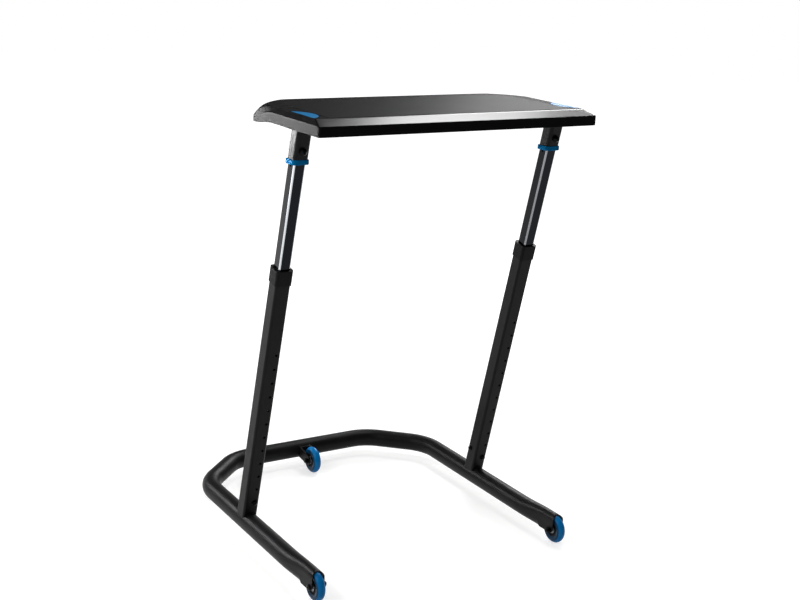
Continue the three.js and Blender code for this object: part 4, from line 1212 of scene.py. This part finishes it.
def white_surround():
    """An even white surround behind the camera's view. Polished things reflect it as white at the
    horizon and dimmer overhead, as in a studio with a white sweep below a dark ceiling."""
    world = bpy.data.worlds.new("studio_surround")
    bpy.context.scene.world = world
    world.use_nodes = True
    tree = world.node_tree
    tree.nodes.clear()
    way = add_node(tree, "ShaderNodeTexCoord").outputs["Generated"]
    rise = add_node(tree, "ShaderNodeSeparateXYZ", {"Vector": way}).outputs["Z"]
    reflected = add_node(tree, "ShaderNodeMapRange", {
        "Value": rise, "From Min": 0, "From Max": 0.1, "To Min": 1.0, "To Max": 0.15})
    rays = add_node(tree, "ShaderNodeLightPath").outputs
    shiny = add_node(tree, "ShaderNodeMath", {
        0: rays["Is Glossy Ray"], 1: rays["Is Transmission Ray"]}, operation="MAXIMUM")
    strength = add_node(tree, "ShaderNodeMix", {
        "Factor": shiny.outputs[0], "A": 0.32, "B": reflected.outputs["Result"]})
    strength = add_node(tree, "ShaderNodeMix", {
        "Factor": rays["Is Camera Ray"], "A": strength.outputs["Result"], "B": 1.0})
    background = add_node(tree, "ShaderNodeBackground", {
        "Color": (1, 1, 1, 1), "Strength": strength.outputs["Result"]})
    add_node(tree, "ShaderNodeOutputWorld", {"Surface": background.outputs["Background"]})


white_surround()


def soft_lamp(name, place, aim, width, height, watts, spread=180):
    """A rectangular lamp. A spread under 180 degrees is a grid on its front, which narrows it."""
    data = bpy.data.lights.new(name, "AREA")
    data.shape, data.size, data.size_y, data.energy = "RECTANGLE", width, height, watts
    data.spread = math.radians(spread)
    lamp = bpy.data.objects.new(name, data)
    lamp.location = place
    lamp.rotation_euler = (Vector(aim) - Vector(place)).to_track_quat("-Z", "Y").to_euler()
    bpy.context.scene.collection.objects.link(lamp)


soft_lamp("key_softbox", (-2.8, -0.2, 2.6), (0, 0, 0.6), 1.6, 1.6, 38)
soft_lamp("side_softbox", (-2.3, 0.5, 0.7), (-0.34, 0, 0.6), 0.5, 1.2, 6)
soft_lamp("rear_softbox", (2.45, 2.2, 2.0), (0, -0.2, 0.9), 1.2, 1.0, 60)
soft_lamp("strip_softbox", (0.66, 0.4, 1.94), (0, -0.2, 1.0), 0.5, 0.6, 13.5)
soft_lamp("left_softbox", (-0.95, 1.05, 1.05), (-0.4, -0.12, 1.02), 0.4, 0.3, 2.5, 40)
soft_lamp("low_softbox", (-1.6, 2.2, 1.4), (-0.36, -0.2, 0.05), 0.9, 0.6, 5, 60)


# Camera. It looks at the desk from the rider's left and a little above the tabletop, at the
# height, distance and tilt from which the desk was seen.

camera_data = bpy.data.cameras.new("camera")
camera_data.sensor_width = 36
camera_data.lens = 60.209
camera = bpy.data.objects.new("camera", camera_data)
camera.location = (-1.66205, -2.75381, 1.47626)
right = Vector((0.8517308, -0.5220094, 0.0453954))
up = Vector((0.1032458, 0.2521327, 0.9621691))
back = Vector((-0.5137070, -0.8148222, 0.2686444))
camera.rotation_euler = Matrix((right, up, back)).transposed().to_euler()
bpy.context.scene.collection.objects.link(camera)
bpy.context.scene.camera = camera
bpy.context.scene.view_settings.view_transform = "Standard"
